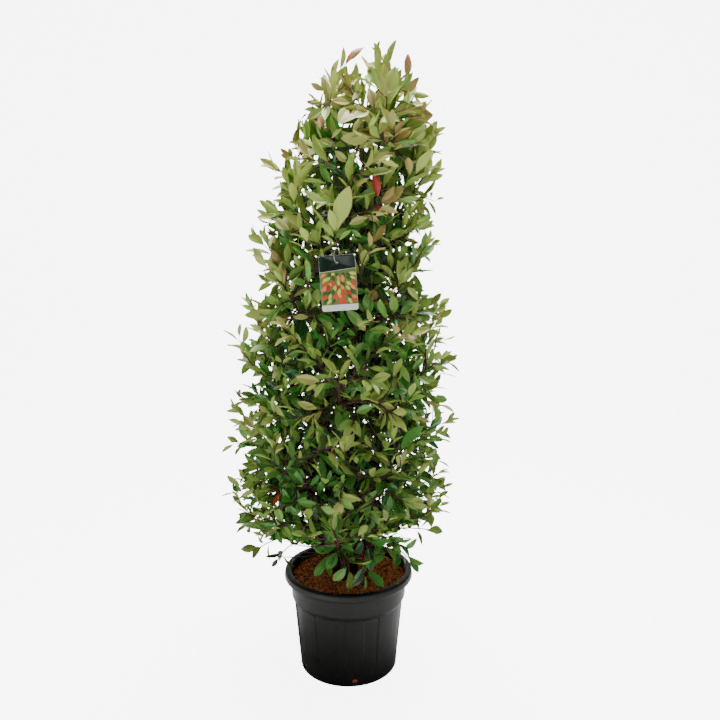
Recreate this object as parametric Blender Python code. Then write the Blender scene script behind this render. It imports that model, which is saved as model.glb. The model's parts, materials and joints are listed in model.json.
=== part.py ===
"""Potted evergreen shrub, clipped by the grower into a tall narrow cone, in its round plastic pot.

Run with: blender --background --python part.py
Units are metres and +Z is up. The origin is the middle of the pot's flat underside, and the
front of the plant, where its picture card hangs, faces -Y.
"""

import math
import random

import bpy
import numpy as np

# Whole plant
SEED = 41
GAP = 0.0003
PLANT_TOP = 2.595

# Pot
POT_HEIGHT = 0.430
POT_BASE_RADIUS = 0.2075
POT_WAIST_HEIGHT = 0.300
POT_WAIST_RADIUS = 0.2335
POT_NECK_HEIGHT = 0.396
POT_NECK_RADIUS = 0.2450
POT_LIP_RADIUS = 0.2750
POT_MOUTH_RADIUS = 0.2460
POT_WALL = 0.0062
POT_FLOOR = 0.0050
POT_FOOT_CHAMFER = 0.0040
PANEL_DEPTH = 0.0032
PANEL_WALL_DEG = 0.9
PANEL_REPEATS = 4
PANEL_EDGES_DEG = ((0.0, 34.0), (53.0, 70.0))
BAND_WIDTH_DEG = 19.0
PANEL_FIRST_DEG = -126.0
PANEL_TOP = 0.302
PANEL_FADE_LOW = 0.030
PANEL_FADE_HIGH = 0.110
DRAIN_HOLES = 5
DRAIN_RADIUS = 0.0110
DRAIN_HEIGHT = 0.0240
DRAIN_FIRST_DEG = -81.7

# Soil in the pot
SOIL_TOP = 0.402
SOIL_MOUND = 0.010
SOIL_RINGS = (0.94, 0.74, 0.56)
SOIL_LEVEL_RADIUS = 0.105

# Stems of the clump: name, azimuth and distance of the foot, azimuth and distance of the head
# from the crown's axis, height of the head, radius at the foot and at the head, and the mass it feeds
STEMS = (
    ("stem_main", 20.0, 0.022, 40.0, 0.022, 2.12, 0.0165, 0.0050, "foliage_top_c"),
    ("stem_left", 165.0, 0.050, 185.0, 0.115, 2.02, 0.0140, 0.0048, "foliage_top_a"),
    ("stem_right", -12.0, 0.078, -45.0, 0.115, 1.99, 0.0120, 0.0045, "foliage_top_b"),
    ("stem_back", 100.0, 0.062, 40.0, 0.120, 1.68, 0.0120, 0.0045, "foliage_upper_b"),
    ("stem_front", -100.0, 0.058, -92.0, 0.110, 1.66, 0.0115, 0.0045, "foliage_upper_a"),
)
STEM_BELLY = 0.45
STEM_SPREAD = 0.35
STEM_BELLY_RISE = 0.40
STEM_UPRIGHT = 0.35
STEM_SIDES = 6
STEM_STEPS = 8
FLARE_HEIGHT = 0.060
FLARE_SHARE = 0.55
FLARE_RING = 0.40

# Crown: its outline as heights and radii, how its axis leans to the right, and the height of its
# underside, which rises outwards and to the front and leaves the soil in view
OUTLINE_HEIGHTS = (0.44, 0.60, 0.85, 1.10, 1.38, 1.55, 1.72, 2.00, 2.16, 2.34, 2.46, 2.55, PLANT_TOP)
OUTLINE_RADII = (0.360, 0.430, 0.490, 0.485, 0.490, 0.430, 0.375, 0.375, 0.330, 0.285, 0.235, 0.190, 0.090)
CROWN_FLOOR = 0.446
FLOOR_AT_AXIS = 0.470
FLOOR_RISE = 0.25
FLOOR_TILT = 0.28
LEAN_HEIGHTS = (0.44, 1.20, 1.80, 2.10, PLANT_TOP)
LEAN_OFFSETS = (-0.040, -0.030, -0.005, 0.045, 0.070)

# Tiers of foliage: height of each tier's floor at the crown's axis and at its outline,
# number of masses round it, azimuth of the first, and name
TIERS = (
    (0.470, 0.600, 5, -90.0, "skirt"),
    (0.640, 0.840, 5, -54.0, "low"),
    (0.880, 1.170, 5, -90.0, "middle"),
    (1.170, 1.560, 4, -45.0, "shoulder"),
    (1.480, 1.900, 3, -90.0, "upper"),
    (1.830, 2.180, 3, 180.0, "top"),
)
LEADER_TIPS = {
    "foliage_top_a": (-0.060, -0.020, 2.420),
    "foliage_top_b": (0.175, -0.070, 2.370),
    "foliage_top_c": (0.105, 0.030, 2.500),
}
TIER_MIDDLE = 0.150
SPACE_MARGIN = 0.0022
REACH_LOW = 0.96
REACH_HIGH = 1.04

# Boughs and twigs
BOUGH_FOOT_RADIUS = 0.0068
BOUGH_TIP_RADIUS = 0.0046
BOUGH_SIDES = 5
BOUGH_STEPS = 4
BOUGH_LOWEST = 0.075
BOUGH_LEAVES = 0.30
BOUGH_ARRIVES = 0.35
BOUGH_LIFT = 0.15
BOUGH_FREE_AFTER = 0.030
BOUGH_APART = 0.0015
BOUGH_OUTS = (0.42, 0.48, 0.36, 0.54)
BOUGH_RISES = (0.55, 0.75, 0.40, 0.95, 0.25, 0.10)
BOUGH_HEIGHTS = (0.38, 0.28, 0.50)
BOUGH_TURNS_DEG = (0.0, 9.0, -9.0, 18.0, -18.0)
TWIG_FOOT_RADIUS = 0.0046
TWIG_TIP_RADIUS = 0.0030
TWIG_SIDES = 3
STEM_OF_MASS_STEPS = 4
SHOOT_STEPS = 2
SHOOTS_PER_MASS = 5
SHOOT_ENDS = (0.25, 0.80)
CANDIDATES = 60
LIMB_CLEARANCE = 0.0095
POINT_CLEARANCE = 0.020
TWIG_APART = 0.002
MASS_STEM_LEAVES = 0.40
MASS_STEM_FREE_AFTER = 0.020
MASS_STEM_ASIDE = 0.25
MASS_TARGET_OUT = 0.80
MASS_TARGET_HIGH = 0.55
SHOOT_HEIGHTS = (0.12, 0.90)
SHOOT_FORWARDS = 0.35
SHOOT_BACKWARDS_COST = 2.2
SHOOT_SAG = 0.06

# Leaves, larger than life here because there are fewer of them
LEAF_LENGTH = 0.220
LEAF_BREADTH = 0.53
LEAF_THICKNESS = 0.0030
LEAF_FOLD = 0.10
LEAF_BROADEST = 0.50
LEAF_SUNK = 0.0004
LEAF_TIP_DROP = 0.04
LEAF_FIRST_BACK = 0.2
LEAF_LOWEST_SHARE = 0.12
LEAF_FIRST_LIFT_DEG = 12.0
LEAF_LIFTS_DEG = (38.0, 62.0)
LEAF_RISES = 0.10
LEAF_FACES_AHEAD = 1.2
LEAF_FACES_UP = 0.7
LEAF_FACES_IN = 0.4
LEAF_SIZES = (0.88, 1.08)
LEAF_TURN_SPREAD = 0.25
LEAVES_PER_SHOOT = 3
LEAF_SPACING = 0.034
LEAF_APART = 0.008
LEAF_TRIES = 40
LEAF_SMALLEST = 0.60
GOLDEN_ANGLE = math.radians(137.5)

# Card that hangs at the front, its loop, and the shoot that carries it
CARD_WIDTH = 0.130
CARD_HEIGHT = 0.198
CARD_THICKNESS = 0.0012
CARD_CORNER = 0.008
CARD_CORNER_STEPS = 4
CARD_TURN_DEG = 4.0
CARD_HOLE_RADIUS = 0.0035
CARD_HOLE_DROP = 0.028
CARD_HOLE_BELOW = 0.044
HANGER = (-0.032, -0.345, 1.775)
SHOOT_PAST_LOOP = 0.022
LOOP_WIRE = 0.0009
LOOP_HALF_WIDTH = 0.0150
LOOP_TOP = 0.0090
LOOP_TURN_DEG = 45.0
LOOP_STEPS = 16
CARD_LEAF_LENGTH = 0.105
CARD_ROOM = ((-0.115, -0.70, 1.535), (0.065, -0.300, 1.930))

DEG = math.pi / 180


def clear_scene():
    for obj in list(bpy.data.objects):
        bpy.data.objects.remove(obj)


def material(name, colour, roughness, metallic=0.0):
    """A plain Principled material."""
    made = bpy.data.materials.new(name)
    made.use_nodes = True
    shader = made.node_tree.nodes["Principled BSDF"]
    shader.inputs["Base Color"].default_value = (*colour, 1.0)
    shader.inputs["Roughness"].default_value = roughness
    shader.inputs["Metallic"].default_value = metallic
    return made


def mesh_object(name, points, faces, finish, smooth=False):
    """A mesh object at the origin, with its place in its points."""
    mesh = bpy.data.meshes.new(name)
    mesh.from_pydata([tuple(p) for p in points], [], faces)
    mesh.validate()
    mesh.materials.append(finish)
    if smooth:
        mesh.shade_smooth()
        mesh.set_sharp_from_angle(angle=40 * DEG)
    obj = bpy.data.objects.new(name, mesh)
    bpy.context.scene.collection.objects.link(obj)
    return obj


def unit(v):
    return v / max(np.linalg.norm(v), 1e-12)


def polar(azimuth, distance, height=0.0):
    """The point at an azimuth in degrees, 0 along +X, a distance from the Z axis and a height."""
    turn = azimuth * DEG
    return np.array([distance * math.cos(turn), distance * math.sin(turn), height])


def bezier(corners, steps):
    """Points along a Bezier curve through its control corners, by repeated halfway mixing."""
    t = np.linspace(0.0, 1.0, steps + 1)[:, None]
    level = [np.broadcast_to(c, (steps + 1, 3)) for c in corners]
    while len(level) > 1:
        level = [a * (1 - t) + b * t for a, b in zip(level, level[1:])]
    return level[0]


def sweep(path, radii, sides):
    """Points and faces of a round limb: rings square to the path, with flat ends.

    The first ring's sideways direction is carried from ring to ring, so that the limb doesn't twist.
    """
    path = np.asarray(path, float)
    ahead = np.gradient(path, axis=0)
    side = np.cross(ahead[0], (0.31, 0.22, 0.92) if abs(unit(ahead[0])[2]) < 0.9 else (1.0, 0.0, 0.0))
    points = []
    for centre, forward, radius in zip(path, ahead, radii):
        forward = unit(forward)
        side = unit(side - forward * np.dot(side, forward))
        other = np.cross(forward, side)
        for k in range(sides):
            turn = 2 * math.pi * k / sides
            points.append(centre + radius * (math.cos(turn) * side + math.sin(turn) * other))
    faces = [tuple(reversed(range(sides)))]
    for i in range(len(path) - 1):
        for k in range(sides):
            a = i * sides + k
            b = i * sides + (k + 1) % sides
            faces.append((a, b, b + sides, a + sides))
    last = (len(path) - 1) * sides
    faces.append(tuple(last + k for k in range(sides)))
    return points, faces


# Crown's space


def crown_radius(z):
    return np.interp(z, OUTLINE_HEIGHTS, OUTLINE_RADII)


def crown_axis_x(z):
    return np.interp(z, LEAN_HEIGHTS, LEAN_OFFSETS)


def crown_point(azimuth, share, z):
    """The point at a share of the crown's radius, from its leaning axis."""
    return polar(azimuth, share * crown_radius(z), z) + np.array([crown_axis_x(z), 0.0, 0.0])


def crown_floor(r, y):
    """Height of the crown's underside at a distance from its axis, and at a place front to back."""
    return np.maximum(FLOOR_AT_AXIS + FLOOR_RISE * r - FLOOR_TILT * y, CROWN_FLOOR)


def tier_floor(tier, r):
    """Height of a tier's floor at a distance from the axis: a cone that rises to the outline."""
    if tier >= len(TIERS):
        return np.full_like(r, PLANT_TOP)
    at_axis, at_outline = TIERS[tier][:2]
    return at_axis + (at_outline - at_axis) * r / crown_radius(at_outline)


class Space:
    """The space that one mass keeps to: a sector of a tier, out to its reach of the outline."""

    def __init__(self, tier, azimuth, half, reach):
        self.tier, self.azimuth, self.half, self.reach = tier, azimuth, half, reach

    def holds(self, points):
        x = points[:, 0] - crown_axis_x(points[:, 2])
        y, z = points[:, 1], points[:, 2]
        r = np.hypot(x, y)
        off = np.abs((np.degrees(np.arctan2(y, x)) - self.azimuth + 180) % 360 - 180)
        inside = z > (crown_floor(r, y) if self.tier == 0 else tier_floor(self.tier, r) + SPACE_MARGIN)
        inside &= z < tier_floor(self.tier + 1, r) - SPACE_MARGIN
        inside &= (r < crown_radius(z) * self.reach) & (off < self.half)
        inside &= r * np.sin(np.radians(self.half - off)) > SPACE_MARGIN
        low, high = np.array(CARD_ROOM)
        return inside & ~((points > low) & (points < high)).all(axis=1)

    def random_point(self, rng):
        """A point of the space, more often near the outline than near the axis."""
        azimuth = self.azimuth + self.half * rng.uniform(-0.9, 0.9)
        share = self.reach * rng.uniform(*SHOOT_ENDS) ** 0.7
        r = np.array([share * crown_radius(TIERS[self.tier][1] + TIER_MIDDLE)])
        low = tier_floor(self.tier, r)[0]
        high = tier_floor(self.tier + 1, r)[0]
        return crown_point(azimuth, share, low + (high - low) * rng.uniform(*SHOOT_HEIGHTS))


class CardSpace:
    """The small space of the shoot that carries the card, above the card."""

    def holds(self, points):
        low = np.array(CARD_ROOM[0]) + SPACE_MARGIN
        high = np.array(CARD_ROOM[1]) - SPACE_MARGIN
        low[2] = HANGER[2]
        x = points[:, 0] - crown_axis_x(points[:, 2])
        near = np.hypot(x, points[:, 1]) < crown_radius(points[:, 2]) * 1.08
        return near & ((points > low) & (points < high)).all(axis=1)


class Limbs:
    """Every stem and bough so far, as short straight lengths with a radius, to keep clear of."""

    def __init__(self):
        self.starts, self.ends, self.radii = [], [], []

    def add(self, path, radii):
        for a, b, ra, rb in zip(path, path[1:], radii, radii[1:]):
            self.starts.append(a)
            self.ends.append(b)
            self.radii.append(max(ra, rb))

    def clearance(self, points):
        """Distance from the nearest limb's surface to each point."""
        a, b = np.array(self.starts), np.array(self.ends)
        along = b - a
        t = ((points[:, None] - a) * along).sum(-1) / (along * along).sum(-1)
        nearest = a + along * np.clip(t, 0, 1)[..., None]
        return (np.linalg.norm(points[:, None] - nearest, axis=-1) - np.array(self.radii)).min(axis=1)


# Pot and soil


def panel_angles():
    """Azimuths of the pot's lengthwise lines: both edges of each panel's side walls, and lines between."""
    angles, repeat = [], 360.0 / PANEL_REPEATS
    for k in range(PANEL_REPEATS):
        for first, last in PANEL_EDGES_DEG:
            start = PANEL_FIRST_DEG + k * repeat
            width = last - first
            inner = np.linspace(first + PANEL_WALL_DEG, last - PANEL_WALL_DEG, 4 if width > 20 else 3)
            angles += [start + first, *(start + inner), start + last]
            angles.append(start + last + BAND_WIDTH_DEG / 2)
    return np.array(angles) * DEG


def recess_share(angles):
    """1 on the sunk panels and 0 on the plain bands between them."""
    repeat = 360.0 / PANEL_REPEATS
    within = (np.degrees(angles) - PANEL_FIRST_DEG + 0.01) % repeat
    sunk = np.zeros_like(within)
    for first, last in PANEL_EDGES_DEG:
        sunk[(within > first + PANEL_WALL_DEG / 2) & (within < last - PANEL_WALL_DEG / 2)] = 1.0
    return sunk


def pot_radius(z):
    """Radius of the pot's outside below its neck."""
    return np.interp(
        z, (0.0, POT_WAIST_HEIGHT, POT_NECK_HEIGHT), (POT_BASE_RADIUS, POT_WAIST_RADIUS, POT_NECK_RADIUS)
    )


def panel_depth(z):
    """How far the panels are sunk at a height: full in the middle, nothing at the foot and above."""
    fade = np.clip((z - PANEL_FADE_LOW) / (PANEL_FADE_HIGH - PANEL_FADE_LOW), 0, 1)
    return PANEL_DEPTH * fade * (z < PANEL_TOP - 1e-6)


def rings_object(name, rings, finish):
    """A closed body from rings of points, from the outside of its underside to its top's inside.

    Each four-sided face is split from its lower left to its upper right corner as seen from the axis,
    so that an inner wall and the filling beside it are the same shape.
    """
    count = len(rings[0])
    points = [p for ring in rings for p in ring]
    faces = [tuple(reversed(range(count)))]
    for i in range(len(rings) - 1):
        upwards = rings[i + 1][0][2] >= rings[i][0][2]
        for k in range(count):
            a, b = i * count + k, i * count + (k + 1) % count
            c, d = b + count, a + count
            faces += [(a, b, c), (a, c, d)] if upwards else [(a, b, d), (b, c, d)]
    last = (len(rings) - 1) * count
    faces.append(tuple(last + k for k in range(count)))
    return mesh_object(name, points, faces, finish, smooth=True)


def ring(angles, radii, height):
    radii = np.broadcast_to(radii, angles.shape)
    heights = np.broadcast_to(height, angles.shape)
    return np.stack([radii * np.cos(angles), radii * np.sin(angles), heights], axis=1)


def build_pot(finish):
    """The pot's wall: up the outside with its sunk panels, round the lip, and down the inside."""
    angles = panel_angles()
    sunk = recess_share(angles)
    outside = [(POT_BASE_RADIUS - POT_FOOT_CHAMFER, 0.0), (POT_BASE_RADIUS, POT_FOOT_CHAMFER)]
    for z in (PANEL_FADE_LOW, PANEL_FADE_HIGH, PANEL_TOP - 0.004):
        outside.append((pot_radius(z), z))
    outside += [(pot_radius(PANEL_TOP), PANEL_TOP), (POT_NECK_RADIUS, POT_NECK_HEIGHT)]
    lip = (
        (POT_LIP_RADIUS - 0.004, POT_NECK_HEIGHT + 0.004),
        (POT_LIP_RADIUS, POT_NECK_HEIGHT + 0.010),
        (POT_LIP_RADIUS - 0.003, POT_HEIGHT - 0.008),
        (POT_LIP_RADIUS - 0.010, POT_HEIGHT),
        (POT_MOUTH_RADIUS + 0.003, POT_HEIGHT),
        (POT_MOUTH_RADIUS, POT_HEIGHT - 0.004),
        (POT_NECK_RADIUS - POT_WALL, POT_NECK_HEIGHT),
    )
    rings = [ring(angles, r - sunk * panel_depth(z), z) for r, z in outside]
    rings += [ring(angles, r, z) for r, z in lip]
    for z in (POT_WAIST_HEIGHT, POT_FLOOR):
        rings.append(ring(angles, pot_radius(z) - POT_WALL, z))
    pot = rings_object("pot", rings, finish)
    cutters = []
    for k in range(DRAIN_HOLES):
        azimuth = DRAIN_FIRST_DEG + k * 360.0 / DRAIN_HOLES
        path = [polar(azimuth, d, DRAIN_HEIGHT) for d in (POT_BASE_RADIUS - 0.012, POT_BASE_RADIUS + 0.012)]
        cutters.append(mesh_object("drain_cutter", *sweep(path, (DRAIN_RADIUS,) * 2, 10), finish))
    combine(pot, cutters, "DIFFERENCE", "EXACT")
    return pot


def build_soil(finish):
    """Soil that fills the pot, with a lumpy top that is level where the stems stand on it."""
    angles = panel_angles()
    heights = (POT_FLOOR + GAP, POT_WAIST_HEIGHT, POT_NECK_HEIGHT)
    rings = [ring(angles, pot_radius(z) - POT_WALL - GAP, z) for z in heights]
    for share in SOIL_RINGS:
        lumps = np.sin(3 * angles + 9 * share) * 0.4 + np.sin(7 * angles - 5 * share) * 0.3
        level = SOIL_TOP + SOIL_MOUND * lumps * (1 if share < SOIL_RINGS[0] else 0.2) - 0.002
        rings.append(ring(angles, share * POT_NECK_RADIUS, level))
    rings.append(ring(angles, SOIL_LEVEL_RADIUS, SOIL_TOP))
    return rings_object("soil", rings, finish)


# Limbs


def stem_path(foot_azimuth, foot_distance, head_azimuth, head_distance, head_height):
    """Line of a stem: straight up out of the soil, bellying outwards, and upright again at its head."""
    foot = polar(foot_azimuth, foot_distance, SOIL_TOP + GAP)
    head = polar(head_azimuth, head_distance, head_height)
    head[0] += crown_axis_x(head_height)
    rise = head_height - foot[2]
    belly = foot + polar(
        foot_azimuth, STEM_BELLY * foot_distance + STEM_SPREAD * head_distance, STEM_BELLY_RISE * rise
    )
    below = head - np.array([0.0, 0.0, STEM_UPRIGHT * rise])
    return bezier((foot, belly, below, head), STEM_STEPS)


def stem_radii(path, foot_radius, head_radius):
    """Straight taper from foot to head, widened over the last few centimetres into a root flare."""
    up = path[:, 2] - path[0, 2]
    taper = foot_radius + (head_radius - foot_radius) * up / up[-1]
    return taper * (1 + FLARE_SHARE * np.clip(1 - up / FLARE_HEIGHT, 0, 1) ** 2)


def build_stems(finish, limbs):
    """The stems of the clump. Returns each one's path and radii."""
    stems = {}
    for name, foot_az, foot_out, head_az, head_out, height, foot_radius, head_radius, _ in STEMS:
        path = stem_path(foot_az, foot_out, head_az, head_out, height)
        flare_top = path[0] + (path[1] - path[0]) * FLARE_HEIGHT / (path[1][2] - path[0][2])
        flare_middle = path[:1] * (1 - FLARE_RING) + flare_top * FLARE_RING
        path = np.vstack([path[:1], flare_middle, flare_top, path[1:]])
        radii = stem_radii(path, foot_radius, head_radius)
        points, faces = sweep(path, radii, STEM_SIDES)
        for k in range(STEM_SIDES):
            points[k][2] = SOIL_TOP + GAP
        mesh_object(name, points, faces, finish, smooth=True)
        limbs.add(path, radii)
        stems[name] = (path, radii)
    return stems


def on_path(path, radii, height):
    """Place, direction and radius of a stem at a height."""
    z = path[:, 2]
    place = np.array([np.interp(height, z, path[:, i]) for i in range(3)])
    i = min(int(np.searchsorted(z, height)), len(z) - 1)
    return place, unit(path[i] - path[i - 1]), float(np.interp(height, z, radii))


def bough_line(stem, tip, tip_direction, rise):
    """Line of a bough that leaves a stem squarely, just clear of its bark, and bends up to its tip.

    It leaves the stem lower than the tip by the rise, a share of the distance between them.
    """
    path, radii = stem
    flat = np.hypot(tip[0] - path[:, 0], tip[1] - path[:, 1]).min()
    place, upward, radius = on_path(path, radii, max(tip[2] - rise * flat, SOIL_TOP + BOUGH_LOWEST))
    out = unit(np.array([tip[0] - place[0], tip[1] - place[1], 0.0]))
    out = unit(out - upward * np.dot(out, upward))
    start = place + out * (radius + GAP)
    length = np.linalg.norm(tip - start)
    corners = (
        start, start + out * BOUGH_LEAVES * length, tip - tip_direction * BOUGH_ARRIVES * length, tip
    )
    line = bezier(corners, BOUGH_STEPS)
    line[1] = start + out * np.dot(line[1] - start, out)
    line[-2] = tip - tip_direction * np.dot(tip - line[-2], tip_direction)
    return line


def build_bough(name, line, finish, limbs):
    radii = np.linspace(BOUGH_FOOT_RADIUS, BOUGH_TIP_RADIUS, len(line))
    mesh_object(name, *sweep(line, radii, BOUGH_SIDES), finish, smooth=True)
    limbs.add(line, radii)


# Masses of foliage


def leaf_points(base, axis, normal, length, width):
    """Eight-faced leaf: base, two sides, tip, and a point over and under the middle of its midrib.

    Its sides stand up from the midrib by the fold, and its tip turns down a little.
    """
    across = np.cross(normal, axis)
    middle = base + axis * LEAF_BROADEST * length
    raised = middle + normal * LEAF_FOLD * width
    tip = base + axis * length - normal * LEAF_TIP_DROP * length
    return np.array([
        base,
        raised - across * width / 2,
        tip,
        raised + across * width / 2,
        middle + normal * LEAF_THICKNESS / 2,
        middle - normal * LEAF_THICKNESS / 2,
    ])


LEAF_FACES = [(0, 1, 4), (1, 2, 4), (2, 3, 4), (3, 0, 4), (1, 0, 5), (2, 1, 5), (3, 2, 5), (0, 3, 5)]


def leaf_samples(corners):
    """Points spread over a leaf, closer together than the clearance that it keeps."""
    u, v = np.meshgrid(np.linspace(0.04, 1.0, 13), np.linspace(-1.0, 1.0, 7))
    base, left, tip, right, over, _ = corners
    spread = np.minimum(u / LEAF_BROADEST, (1 - u) / (1 - LEAF_BROADEST))
    middle = base + (tip - base) * u[..., None]
    side = np.where(v[..., None] < 0, left - over, right - over)
    return (middle + side * (np.abs(v) * spread)[..., None]).reshape(-1, 3)


def spread_points(space, limbs, count, rng):
    """Points of a space that stand well apart: each is the best of several random ones."""
    chosen = []
    for _ in range(count):
        best, best_room = None, -1.0
        for _ in range(CANDIDATES):
            point = space.random_point(rng)
            if not space.holds(point[None])[0] or limbs.clearance(point[None])[0] < POINT_CLEARANCE:
                continue
            room = min([np.linalg.norm(point - c) for c in chosen], default=1.0)
            if room > best_room:
                best, best_room = point, room
        if best is not None:
            chosen.append(best)
    return chosen


def shoot_line(stem, target):
    """Line of a side shoot: it leaves the stem forwards, from the nearest place that lets it, and bends."""
    ahead = np.gradient(stem, axis=0)
    best = min(
        range(1, len(stem) - 1),
        key=lambda i: np.linalg.norm(target - stem[i])
        * (1.0 if np.dot(unit(target - stem[i]), unit(ahead[i])) > SHOOT_FORWARDS else SHOOT_BACKWARDS_COST),
    )
    start = stem[best]
    length = np.linalg.norm(target - start)
    lead = unit(unit(ahead[best]) + unit(target - start))
    bend = start + lead * 0.5 * length - np.array([0.0, 0.0, SHOOT_SAG * length])
    return bezier((start, bend, target), SHOOT_STEPS)


def shoot_leaves(line, count, length, rng):
    """Places of leaves round a shoot, from its tip back: base, axis, normal, length and width of each.

    Each is a golden angle on from the last. The first is in line with the tip, and those below
    stand out more. A leaf's upper side faces the tip of the shoot and the sky.
    """
    steps = np.linalg.norm(np.diff(line, axis=0), axis=1)
    reached = np.concatenate([[0.0], np.cumsum(steps)])
    turn = rng.uniform(0.0, 2 * math.pi)
    for k in range(count):
        back = reached[-1] - LEAF_SPACING * (LEAF_FIRST_BACK + k)
        if back < LEAF_LOWEST_SHARE * reached[-1]:
            return
        base = np.array([np.interp(back, reached, line[:, i]) for i in range(3)])
        i = min(max(int(np.searchsorted(reached, back)), 1), len(line) - 1)
        forward = unit(line[i] - line[i - 1])
        side = unit(np.cross(forward, (0.0, 0.0, 1.0) if abs(forward[2]) < 0.9 else (1.0, 0.0, 0.0)))
        out = math.cos(turn) * side + math.sin(turn) * np.cross(forward, side)
        lift = math.radians(LEAF_FIRST_LIFT_DEG if k == 0 else rng.uniform(*LEAF_LIFTS_DEG))
        axis = unit(forward * math.cos(lift) + out * math.sin(lift) + np.array([0.0, 0.0, LEAF_RISES]))
        face = LEAF_FACES_AHEAD * forward + np.array([0.0, 0.0, LEAF_FACES_UP]) - LEAF_FACES_IN * out
        normal = unit(face - axis * np.dot(face, axis))
        size = length * rng.uniform(*LEAF_SIZES)
        yield base - axis * LEAF_SUNK, axis, normal, size, size * LEAF_BREADTH
        turn += GOLDEN_ANGLE + rng.uniform(-LEAF_TURN_SPREAD, LEAF_TURN_SPREAD)


def near_others(samples, others):
    """Whether a leaf's points come close to those of another leaf."""
    middle = samples.mean(axis=0)
    close = [other for other in others if np.linalg.norm(other.mean(axis=0) - middle) < LEAF_LENGTH]
    return any(np.linalg.norm(samples[:, None] - other, axis=-1).min() < LEAF_APART for other in close)


def try_leaf(space, limbs, leaf, others, rng):
    """The leaf's corners, or None. It is turned and shortened until it fits.

    A leaf fits where it stays in the space, clear of limbs and of the mass's other leaves.
    """
    base, axis, normal, length, width = leaf
    for attempt in range(LEAF_TRIES):
        share = attempt / (LEAF_TRIES - 1)
        turned = unit(axis + share * np.array([rng.uniform(-1, 1) for _ in range(3)]))
        upper = unit(normal - turned * np.dot(normal, turned))
        size = 1 - (1 - LEAF_SMALLEST) * share
        corners = leaf_points(base, turned, upper, length * size, width * size)
        samples = leaf_samples(corners)
        fits = space.holds(samples).all() and limbs.clearance(samples).min() > LIMB_CLEARANCE
        if fits and not near_others(samples, others):
            others.append(samples)
            return corners
    return None


def mass_stem(space, limbs, root, root_direction, target, rng):
    """Line of a mass's stem from its root to its target, moved aside until it is clear of every limb."""
    length = np.linalg.norm(target - root)
    end = target
    for _ in range(CANDIDATES):
        stem = bezier((root, root + root_direction * MASS_STEM_LEAVES * length, end), STEM_OF_MASS_STEPS)
        stem[1] = root + root_direction * np.dot(stem[1] - root, root_direction)
        fine = along(stem)
        away = np.linalg.norm(fine - root, axis=1) > MASS_STEM_FREE_AFTER
        room = limbs.clearance(fine[away]).min()
        if room > TWIG_FOOT_RADIUS + TWIG_APART and space.holds(fine[away]).all():
            return stem
        end = target + MASS_STEM_ASIDE * length * np.array([rng.uniform(-1, 1) for _ in range(3)])
    raise ValueError(f"no clear way for a stem from {root} to {target}")


def grow_mass(space, limbs, root, root_direction, target, shoots, rng, leaf_length=LEAF_LENGTH):
    """Twig lines and leaves of one mass. The stem runs from the root to the target."""
    lines = [mass_stem(space, limbs, root, root_direction, target, rng)]
    stem = lines[0]
    for point in spread_points(space, limbs, shoots, rng):
        line = shoot_line(stem, point)
        inner = along(line)[4:]
        if space.holds(inner).all() and limbs.clearance(inner).min() > TWIG_FOOT_RADIUS + TWIG_APART:
            lines.append(line)
    leaves, others = [], []
    for line in lines:
        places = shoot_leaves(line, LEAVES_PER_SHOOT, leaf_length, rng)
        leaves += [try_leaf(space, limbs, place, others, rng) for place in places]
    return lines, [leaf for leaf in leaves if leaf is not None]


def combine(base, others, operation, solver):
    """Joins the other objects to the base, or cuts them from it, with one Boolean, and removes them."""
    group = bpy.data.collections.new("group")
    bpy.context.scene.collection.children.link(group)
    for obj in others:
        for home in list(obj.users_collection):
            home.objects.unlink(obj)
        group.objects.link(obj)
    modifier = base.modifiers.new("combine", "BOOLEAN")
    modifier.operation = operation
    modifier.solver = solver
    modifier.operand_type = "COLLECTION"
    modifier.collection = group
    bpy.context.view_layer.update()
    whole = bpy.data.meshes.new_from_object(base.evaluated_get(bpy.context.evaluated_depsgraph_get()))
    base.modifiers.clear()
    base.data = whole
    for obj in list(group.objects):
        bpy.data.objects.remove(obj)
    bpy.data.collections.remove(group)


def build_mass(name, lines, leaves, finish):
    """One closed solid of a mass: its stem, with side shoots and leaves fused on."""
    pieces = []
    for i, line in enumerate(lines):
        foot = TWIG_FOOT_RADIUS if i == 0 else 0.5 * (TWIG_FOOT_RADIUS + TWIG_TIP_RADIUS)
        radii = np.linspace(foot, TWIG_TIP_RADIUS, len(line))
        pieces.append(mesh_object(name if i == 0 else "twig", *sweep(line, radii, TWIG_SIDES), finish))
    for corners in leaves:
        pieces.append(mesh_object("leaf", corners, LEAF_FACES, finish))
    combine(pieces[0], pieces[1:], "UNION", "MANIFOLD")
    return pieces[0]


def plan_masses(rng):
    """Name, space, root, direction at the root and target of each mass, tier by tier."""
    side_names = {5: "abcde", 4: "abcd", 3: "abc"}
    for tier, (_, _, count, first, tier_name) in enumerate(TIERS):
        for k in range(count):
            azimuth = first + k * 360.0 / count
            space = Space(tier, azimuth, 180.0 / count, rng.uniform(REACH_LOW, REACH_HIGH))
            outer = crown_radius(TIERS[tier][1] + TIER_MIDDLE)
            low = tier_floor(tier, np.array([MASS_TARGET_OUT * outer]))[0]
            high = tier_floor(tier + 1, np.array([MASS_TARGET_OUT * outer]))[0]
            height = low + (high - low) * MASS_TARGET_HIGH
            target = crown_point(azimuth, MASS_TARGET_OUT * space.reach, height)
            yield f"foliage_{tier_name}_{side_names[count][k]}", space, target


def along(line, steps=8):
    """Points close together along a line of straight lengths."""
    shares = np.linspace(0.0, 1.0, steps, endpoint=False)
    return np.array([a + (b - a) * t for a, b in zip(line, line[1:]) for t in shares] + [line[-1]])


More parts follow.
